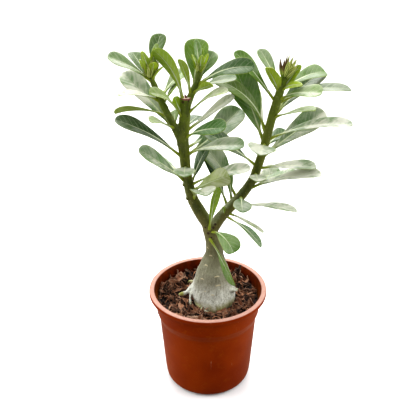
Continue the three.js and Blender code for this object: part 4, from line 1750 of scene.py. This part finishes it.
        # Rows of short upright pleats where the neck has bent
        for z, turn in self.pleats:
            around = np.arctan2(points[:, 1], points[:, 0] - self.neck_x)
            above = (points[:, 2] - z) / self.pleat_height
            row = np.exp(-(above**4) - ((around - turn) / self.pleat_turn) ** 4)
            push += self.pleat_depth * row * np.cos(around * self.pleat_count)
        return push

    def mark_skin(self, points: np.ndarray, push: np.ndarray, marks: np.ndarray) -> None:
        """Adds leaf scars up the limbs, pale lines on the trunk and dark scars at the forks.

        Args:
            points: The skin's points in mm.
            push: Height to add at each point, changed in place.
            marks: Colour mark at each point, changed in place.
        """
        random = np.random.default_rng(SEED + 1)
        for limb, route in STEM_ROUTES.items():
            golden = random.uniform(0, 6)
            start = 24 if limb in (Limb.LEFT_STEM, Limb.RIGHT_STEM) else 10
            for at in np.arange(start, route.length - 4, self.scar_gap):
                golden += self.scar_turn
                tangent = route.tangent(at)
                side = np.cross(tangent, (0, 1, 0))
                side /= np.linalg.norm(side)
                around = math.cos(golden) * side + math.sin(golden) * np.cross(tangent, side)
                middle = route.point(at) + around * route.radius(at)
                self.scar(points, middle, tangent, push, marks)
        table = np.array(self.rings, float).T
        for x, z, half in self.front_lines:
            centre, broad, depth = (np.interp(z, table[0], table[k]) for k in (1, 3, 4))
            y = -math.sqrt(max(broad**2 - (x - centre) ** 2, 1)) * depth
            self.streak(points, np.array((x, y, z)), half, push, marks)
        for _ in range(self.line_count):
            angle = random.uniform(0.1, math.pi - 0.1)
            z = random.uniform(100, 168)
            x, half, depth = (np.interp(z, table[0], table[k]) for k in (1, 3, 4))
            middle = np.array((x + math.cos(angle) * half, math.sin(angle) * half * depth, z))
            self.streak(points, middle, random.uniform(0.9, 2.6), push, marks)
        for place, size in self.fork_scars:
            far = np.linalg.norm(points - np.array(place), axis=1) / size
            marks -= 0.9 * np.exp(-(far**4))
            push += 0.3 * np.exp(-(far**2))

    def tones(self, points: np.ndarray, marks: np.ndarray) -> np.ndarray:
        """Gives what the bark's colours follow.

        Args:
            points: The skin's points in mm.
            marks: Colour mark at each point.

        Returns:
            Age, mark and share of moss at each point.
        """
        age = np.interp(points[:, 2], self.age_heights, self.age_shares)
        # The roots and the flare above them are the palest skin
        for route in ROOT_ROUTES[:3]:
            line = route.line[::8]
            far = np.min(np.linalg.norm(points[:, None, :] - line[None, :, :], axis=2), axis=1)
            age = age - 0.1 * np.exp(-((far / 6) ** 4)) * (age < 0.2)
        # The side away from the front is darker, and its roots are stained by the peat
        behind = np.clip(points[:, 1] / 14, 0, 1)
        age = np.clip(age + 0.05 * behind * (age < 0.2), 0, 1)
        foot = np.clip((103 + behind - points[:, 2]) / (7 + behind), 0, 1)
        nub = np.linalg.norm(points - np.array(self.green_nub), axis=1)
        foot = np.maximum(foot, 1.6 * np.exp(-((nub / 3.2) ** 4)))
        return np.column_stack([age, marks, foot])

    def scar(
        self,
        points: np.ndarray,
        middle: np.ndarray,
        tangent: np.ndarray,
        push: np.ndarray,
        marks: np.ndarray,
    ) -> None:
        """Raises the low cushion that a fallen leaf leaves, with a dark dimple in it.

        Args:
            points: The skin's points in mm.
            middle: Middle of the scar.
            tangent: Direction of the stem there.
            push: Height to add at each point, changed in place.
            marks: Colour mark at each point, changed in place.
        """
        gap = points - middle
        up = gap @ tangent
        flat = np.linalg.norm(gap - np.outer(up, tangent), axis=1)
        far = np.hypot(flat, up * 1.25) / self.scar_radius
        push += 0.42 * np.exp(-(far**2)) - 0.3 * np.exp(-((far / 0.4) ** 2))
        ring = 0.25 * np.exp(-(((far - 0.95) / 0.3) ** 2))
        marks += self.scar_tone * (np.exp(-((far / 0.45) ** 2)) - ring)

    def streak(
        self,
        points: np.ndarray,
        middle: np.ndarray,
        width: float,
        push: np.ndarray,
        marks: np.ndarray,
    ) -> None:
        """Raises one pale corky line that lies level on the trunk.

        Args:
            points: The skin's points in mm.
            middle: Middle of the line.
            width: Half its length.
            push: Height to add at each point, changed in place.
            marks: Colour mark at each point, changed in place.
        """
        gap = points - middle
        side = np.hypot(gap[:, 0], gap[:, 1]) / width
        up = (gap[:, 2] + 0.6 * side**2) / self.line_half
        strength = np.exp(-(side**4) - up**2)
        push += 0.28 * strength
        marks += 0.9 * strength


@dataclass
class BladeForm:
    """Form of the leaves: one blade modelled flat, then bent into each place."""

    around: int = 32
    lengths: int = 44
    petiole: float = 0.1
    petiole_half: float = 1.6
    petiole_thick: float = 2.4
    mid_thick: float = 1.2
    edge_thick: float = 0.65
    cup: float = math.tan(math.radians(25))
    fullest: float = 0.59
    root_share: float = 0.55
    stalk_end: float = 0.06
    stalk_blend: float = 0.14
    bend_steps: int = 240
    twist: float = 5.0
    crease: float = 0.6
    long_leaf: float = 45.0
    edge_wave: float = 0.55
    ripple: float = 0.35
    keel: float = 0.5
    wobble: float = 0.025

    def master(self) -> bpy.types.Object:
        """Models the flat blade as a closed skin, with its place across and along stored on each point.

        Returns:
            The blade, 1 long and 1 to each side.
        """
        half = self.around // 2
        shares = self.stations()
        section = []
        for k in range(self.around):
            lower = k > half
            turn = math.pi * (k if not lower else self.around - k) / half
            section.append((-math.cos(turn), 0.5 if k in (0, half) else float(lower)))
        rings = []
        for t in shares:
            rings.append([(s, t, -u) for s, u in section])
        blade = tube("blade_form", np.array(rings))
        flat = points_of(blade.data)
        looks = np.column_stack([flat[:, 0], flat[:, 1], -flat[:, 2]])
        set_vector(blade.data, "blade", looks)
        return blade

    def stations(self) -> np.ndarray:
        """Returns the shares of the length at which the blade has a ring, closer at both ends."""
        even = np.linspace(0, 1, self.lengths)
        return even - 0.115 * np.sin(2 * math.pi * even) * even

    def half_width(self, share: np.ndarray, width: float, sheath: float) -> np.ndarray:
        """Gives half the blade's width at shares of its length, widest near three quarters.

        Args:
            share: Shares of the length.
            width: Greatest width.
            sheath: 0 for a stalked leaf, 1 for a young leaf with a broad foot.

        Returns:
            Half the width at each share.
        """
        u = np.clip((share - self.petiole) / (1 - self.petiole), 0, 1)
        form = u**1.05 * np.sqrt(np.maximum(0, 1 - u**4)) / self.fullest * width / 2
        broad = 0.42 + 0.58 * np.sin(np.pi / 2 * np.clip(share / 0.5, 0, 1))
        broad = broad * np.sqrt(np.maximum(0, 1 - share**2.6))
        form = form * (1 - sheath) + broad * width / 2 * sheath
        # A small soft point stands out of the round tip
        tip = 0.55 * np.sqrt(np.clip((1 - share) / 0.03, 0, 1))
        stalk = self.petiole_half * (1 - u) ** 0.7
        return np.maximum(np.maximum(stalk, tip * 0.6), form)

    def place(self, blade: bpy.types.Object, foot: np.ndarray, row: LeafRow, seed: float) -> None:
        """Bends a copy of the flat blade into its place.

        Args:
            blade: Copy of the master.
            foot: Where the stalk starts, in mm.
            row: The leaf's numbers.
            seed: A number of its own, for its small waves.
        """
        looks = np.empty(len(blade.data.vertices) * 3)
        blade.data.attributes["blade"].data.foreach_get("vector", looks)
        s, t, under = looks.reshape(-1, 3).T
        turn = math.radians(row.turn)
        heading = np.array((math.cos(turn), math.sin(turn), 0.0))
        up = np.array((0.0, 0.0, 1.0))
        fine = np.linspace(0, 1, self.bend_steps + 1)
        pitch = np.radians(row.rise - row.droop * fine)
        steps = np.cos(pitch)[:, None] * heading + np.sin(pitch)[:, None] * up
        run = np.cumsum((steps[1:] + steps[:-1]) / 2, axis=0) / self.bend_steps
        line = np.vstack([np.zeros(3), run]) * row.length
        centre = np.column_stack([np.interp(t, fine, line[:, k]) for k in range(3)]) + foot
        angle = np.radians(row.rise - row.droop * t)[:, None]
        ahead = np.cos(angle) * heading + np.sin(angle) * up
        flat = -np.sin(angle) * heading + np.cos(angle) * up
        # The blade keeps its roll and twists a few degrees more towards its tip
        roll = math.radians(row.roll) + math.radians(self.twist) * math.sin(seed) * (t - 0.5)
        level = np.cross(ahead, flat)
        normal = flat * np.cos(roll)[:, None] + level * np.sin(roll)[:, None]
        side = np.cross(ahead, normal)
        half = self.half_width(t, row.width, row.sheath)
        blade_share = np.clip((t - self.stalk_end) / self.stalk_blend, 0, 1)
        thick_mid = self.petiole_thick + (self.mid_thick - self.petiole_thick) * blade_share
        taper = np.clip(half / 1.2, 0.35, 1)
        thick = thick_mid * (1 - s**2) + self.edge_thick * s**2
        thick = thick * np.sqrt(np.clip(1 - s**6, 0, 1)) * taper
        crease = np.sqrt((s * half) ** 2 + self.crease**2) - self.crease
        free = np.clip((half - self.petiole_half) / np.maximum(half, 0.1), 0, 1)
        lift = crease * free * self.cup * (1 - 0.16 * s**2)
        small = min(1.0, row.length / self.long_leaf)
        wave = np.sin(t * (9 + 2 * math.sin(seed * 3)) + seed + 1.3 * np.sign(s)) * s**2
        lift = lift + self.edge_wave * small * wave * blade_share * np.sqrt(np.clip(1 - t, 0, 1))
        lift = lift + self.ripple * small * np.sin(t * 6 + seed * 2) * blade_share
        out = np.where(under > 0.75, -0.5, np.where(under < 0.25, 0.5, 0.0)) * thick
        keel = np.where(under > 0.75, -1, 0) * self.keel * np.exp(-((s * half / 0.8) ** 2)) * (1 - t)
        wobble = 1 + self.wobble * np.sin(t * 14 + seed * 5 + np.sign(s))
        points = centre + side * (s * half * wobble)[:, None] + normal * (lift + out + keel)[:, None]
        set_points(blade.data, points * MM)
        size = np.column_stack([s * half, t * row.length, np.full(len(s), seed)])
        set_vector(blade.data, "blade_mm", size)
        set_vector(blade.data, "leaf_look", np.tile((row.youth, row.shade, row.haze), (len(s), 1)))


@dataclass
class Foliage:
    """The leaves of one stem or head as one piece."""

    form: BladeForm
    master: bpy.types.Object
    material: bpy.types.Material

    def foot_on(self, route: Route, row: LeafRow) -> np.ndarray:
        """Finds where a leaf's stalk starts inside its stem.

        Args:
            route: The stem's middle line.
            row: The leaf's numbers.

        Returns:
            The place in mm.
        """
        out = route.radius(row.at) * self.form.root_share
        turn = math.radians(row.turn)
        return route.point(row.at) + out * np.array((math.cos(turn), math.sin(turn), 0))

    def build(
        self, name: str, feet: list[np.ndarray], table: Sequence[LeafRow], slot: str, node: str, seed: float
    ) -> bpy.types.Object:
        """Copies the blade to every place and joins the leaves.

        Args:
            name: Name of the piece.
            feet: Where each leaf starts.
            table: The leaves' numbers.
            slot: The record's material slot.
            node: CAD node that the leaves stand for.
            seed: Number that starts the leaves' own waves.

        Returns:
            The joined leaves.
        """
        leaves = []
        for k, (foot, row) in enumerate(zip(feet, table)):
            leaf = copy_of(self.master, f"{name}_{k}")
            self.form.place(leaf, foot, row, seed + k * 1.7)
            leaves.append(leaf)
        piece = join(leaves, name)
        pick(piece)
        bpy.ops.object.mode_set(mode="EDIT")
        bpy.ops.mesh.select_all(action="SELECT")
        bpy.ops.mesh.normals_make_consistent(inside=False)
        bpy.ops.object.mode_set(mode="OBJECT")
        smooth_shaded(piece, 75)
        finish_piece(piece, self.material, slot, node)
        return piece


@dataclass
class Buds:
    """The pointed buds in the middle of a head, in mm."""

    around: int = 12
    lengths: int = 14
    finish: BudFinish = field(default_factory=BudFinish)

    def build(self, limb: Limb, material: bpy.types.Material) -> bpy.types.Object:
        """Sets the buds of one head round its tip.

        Args:
            limb: The shoot that carries the head.
            material: The buds' finish.

        Returns:
            The joined buds.
        """
        route = STEM_ROUTES[limb]
        cluster = HEAD_BUDS[limb]
        random = np.random.default_rng(SEED + len(limb.value))
        axis = route.tangent(route.length) + np.array(cluster.lean)
        axis /= np.linalg.norm(axis)
        top = route.point(route.length) + axis * cluster.depth * 0.3
        side = np.cross((0, 1, 0), axis)
        side /= np.linalg.norm(side)
        across = np.cross(axis, side)
        buds = []
        for k in range(cluster.count):
            share = (k + 0.5) / cluster.count
            tilt = math.radians(cluster.spread * share**0.6)
            around = k * math.pi * (3 - math.sqrt(5))
            out = side * math.cos(around) + across * math.sin(around)
            direction = axis * math.cos(tilt) + out * math.sin(tilt)
            length = cluster.length * random.uniform(0.75, 1.05)
            radius = random.uniform(1.0, 1.4)
            purple = cluster.purple * (random.random() < 0.45 - 0.4 * out[0])
            foot = top - axis * (1 + cluster.depth * (1 + share)) + out * (0.6 + 2.4 * share)
            buds.append(self.bud(f"{limb.value}_bud_{k}", foot, direction, axis, length, radius, purple))
        piece = join(buds, f"{HEAD_NODES[limb]}_buds")
        smooth_shaded(piece)
        finish_piece(piece, material, "young_leaf", HEAD_NODES[limb])
        return piece

    def bud(
        self,
        name: str,
        foot: np.ndarray,
        direction: np.ndarray,
        axis: np.ndarray,
        length: float,
        radius: float,
        purple: float,
    ) -> bpy.types.Object:
        """Makes one bud as a ribbed spindle that bends back to the head's axis.

        Args:
            name: Name of the bud.
            foot: Where it starts.
            direction: Where it points at first.
            axis: The head's axis.
            length: Its length.
            radius: Its greatest radius.
            purple: Share of purple at its tip.

        Returns:
            The bud.
        """
        across = np.cross((1, 0, 0), direction)
        across /= np.linalg.norm(across)
        along = np.cross(direction, across)
        rings = []
        for t in np.linspace(0, 1, self.lengths):
            centre = foot + direction * length * t + axis * length * 0.12 * t**2
            size = radius * (0.7 + 0.45 * math.sin(math.pi * t**0.8)) * (1 - t**3.5) + 0.16
            ring = []
            for k in range(self.around):
                a = 2 * math.pi * k / self.around
                swell = size * (1 + 0.1 * math.cos(5 * a))
                ring.append(centre + swell * (math.cos(a) * across + math.sin(a) * along))
            rings.append(ring)
        bud = tube(name, np.array(rings) * MM)
        place = points_of(bud.data) / MM - foot
        t = place @ direction / length
        around = np.arctan2(place @ along, place @ across) / (2 * math.pi) + 0.5
        set_vector(bud.data, "bud", np.column_stack([t, around, np.full(len(t), purple)]))
        return bud


@dataclass
class CutStub:
    """The cut top of the left stem with its dried spike, in mm."""

    sides: int = 40
    face: tuple = ((0.9, -1.4), (0.97, -0.6), (0.98, 0), (0.92, 0.3), (0.7, 0.2), (0.4, 0.1), (0.15, 0.15))
    ragged: float = 0.22
    spike_sides: int = 8
    spike_height: float = 4.2
    spike: tuple = ((0, 1.2), (0.2, 1.0), (0.5, 0.8), (0.75, 0.45), (1, 0.12))
    finish: CutFinish = field(default_factory=CutFinish)

    def build(self) -> bpy.types.Object:
        """Makes the pale cut face, its ragged rim and the spike.

        Returns:
            The dressed stub.
        """
        route = STEM_ROUTES[Limb.LEFT_STEM]
        top = route.point(route.length)
        radius = route.radius(route.length) * 0.98
        rings = []
        for r, z in self.face:
            ring = []
            for k in range(self.sides):
                a = 2 * math.pi * k / self.sides
                ragged = self.ragged * noise.noise(Vector((math.cos(a) * 2, math.sin(a) * 2, r * 2)))
                place = (math.cos(a) * radius * r, math.sin(a) * radius * r, z + ragged)
                ring.append(top + np.array(place))
            rings.append(ring)
        face = tube("cut_face", np.array(rings) * MM)
        place = points_of(face.data) / MM - top
        out = np.hypot(place[:, 0], place[:, 1]) / radius
        set_vector(face.data, "cut", np.column_stack([out, np.zeros(len(out)), np.zeros(len(out))]))
        spike_rings = []
        for t, r in self.spike:
            centre = top + np.array((0.6 - 1.6 * t, -0.4, self.spike_height * t))
            angles = np.linspace(0, 2 * math.pi, self.spike_sides, endpoint=False)
            spike_rings.append([centre + r * np.array((math.cos(a), math.sin(a) * 0.7, 0)) for a in angles])
        spike = tube("dry_spike", np.array(spike_rings) * MM)
        count = len(spike.data.vertices)
        set_vector(spike.data, "cut", np.column_stack([np.zeros(count), np.ones(count), np.zeros(count)]))
        stub = join([face, spike], "cut_stub")
        smooth_shaded(stub, 50)
        finish_piece(stub, self.finish.make(), "bark", "left_stem")
        return stub


@dataclass
class Studio:
    """Pale floor, soft lights and the camera at the photograph's angle, in metres."""

    floor_size: float = 14.0
    camera_place: tuple[float, float, float] = (0.0022, -0.550, 0.4824)
    camera_pitch: float = 62.6
    lens: float = 55.13
    front_light: float = 0.26
    back_light: float = 0.46
    top_light: float = 0.85
    floor_seen: str = "f6f6f6"
    floor_given: str = "a0a0a0"
    lights: tuple = (
        ("top_softbox", (-0.1, 0.75, 1.2), (0.0, 0.0, 0.2), 1.1, 14),
        ("left_softbox", (-1.0, -0.1, 0.6), (0.0, 0.0, 0.15), 0.7, 6),
        ("right_softbox", (1.0, -0.1, 0.6), (0.0, 0.0, 0.15), 0.7, 6),
    )

    def floor(self) -> None:
        """Lays the pale floor."""
        clear_selection()
        bpy.ops.mesh.primitive_plane_add(size=self.floor_size, location=(0, 0, 0))
        floor = bpy.context.object
        floor.name = "studio_floor"
        material, add, shader = new_material("studio_white")
        # The floor throws back less light than it shows, as a cut-out white floor does
        seen = add("LightPath", output="Is Camera Ray")
        colour = add("Mix", {0: seen, 6: self.floor_given, 7: self.floor_seen}, **COLOURS)
        set_inputs(shader, {"Base Color": colour, "Roughness": 0.9, "Specular IOR Level": 0.0})
        floor.data.materials.append(material)

    def light(
        self, name: str, place: Sequence[float], aim: Sequence[float], size: float, power: float
    ) -> None:
        """Adds one soft square light.

        Args:
            name: Name of the light.
            place: Where it stands.
            aim: Where it points.
            size: Its side.
            power: Its power in watts.
        """
        data = bpy.data.lights.new(name, "AREA")
        data.size = size
        data.energy = power
        lamp = bpy.data.objects.new(name, data)
        bpy.context.collection.objects.link(lamp)
        lamp.location = place
        towards = Vector(aim) - Vector(place)
        lamp.rotation_euler = towards.to_track_quat("-Z", "Y").to_euler()

    def world(self) -> None:
        """Fills the room with pale light, a little dimmer on the camera's side."""
        world = bpy.data.worlds.new("studio_room")
        bpy.context.scene.world = world
        world.use_nodes = True
        tree = world.node_tree
        way = add_node(tree, "TexCoord", output="Generated")
        _, back, up = add_node(tree, "SeparateXYZ", (way,)).node.outputs
        back = add_node(tree, "MapRange", (back, -0.75, 0.35, self.front_light, self.back_light), **SOFT)
        up = add_node(tree, "MapRange", (up, 0.1, 0.9, 0, self.top_light), **SOFT)
        light = add_node(tree, "Math", (back, up), operation="ADD")
        # The camera sees plain white behind the object
        seen = add_node(tree, "LightPath", output="Is Camera Ray")
        gap = add_node(tree, "Math", (1, light), operation="SUBTRACT")
        strength = add_node(tree, "Math", (gap, seen, light), operation="MULTIPLY_ADD")
        set_inputs(tree.nodes["Background"], {"Color": "ffffff", "Strength": strength})

    def camera(self) -> None:
        """Sets the camera at the photograph's angle."""
        data = bpy.data.cameras.new("photo_camera")
        data.lens = self.lens
        data.sensor_width = 36
        data.clip_start = 0.01
        data.clip_end = 50
        camera = bpy.data.objects.new("photo_camera", data)
        bpy.context.collection.objects.link(camera)
        camera.location = self.camera_place
        camera.rotation_euler = (math.radians(self.camera_pitch), 0, 0)
        bpy.context.scene.camera = camera

    def build(self) -> None:
        """Sets up the whole studio."""
        self.floor()
        self.world()
        for light in self.lights:
            self.light(*light)
        self.camera()
        bpy.context.scene.view_settings.view_transform = "Standard"
        bpy.context.scene.view_settings.look = "Medium High Contrast"


def build_plant() -> None:
    """Builds and dresses the wood, the leaves and the heads."""
    Wood().build()
    CutStub().build()
    form = BladeForm()
    master = form.master()
    foliage = Foliage(form, master, LeafFinish().make())
    for number, (limb, table) in enumerate(LEAVES.items()):
        feet = [foliage.foot_on(STEM_ROUTES[limb], row) for row in table]
        foliage.build(f"{limb.value}_leaves", feet, table, "leaf", limb.value, 3.0 * number)
    for number, (limb, table) in enumerate(HEAD_LEAVES.items()):
        feet = [foliage.foot_on(STEM_ROUTES[limb], row) for row in table]
        node = HEAD_NODES[limb]
        foliage.build(f"{node}_leaves", feet, table, "young_leaf", node, 40 + number)
    for node, (foot, row) in FORK_LEAVES.items():
        foliage.build(f"{node}_blade", [np.array(foot, float)], [row], "leaf", node, 60 + row.turn)
    bpy.data.objects.remove(master)
    buds = Buds()
    bud_material = buds.finish.make()
    for limb in HEAD_BUDS:
        buds.build(limb, bud_material)


def main() -> None:
    """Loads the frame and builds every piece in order."""
    logging.basicConfig(level=logging.INFO, format="%(name)s: %(message)s")
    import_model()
    GrowPot().build()
    PottingMix().build()
    build_plant()
    Studio().build()


if __name__ == "__main__":
    main()
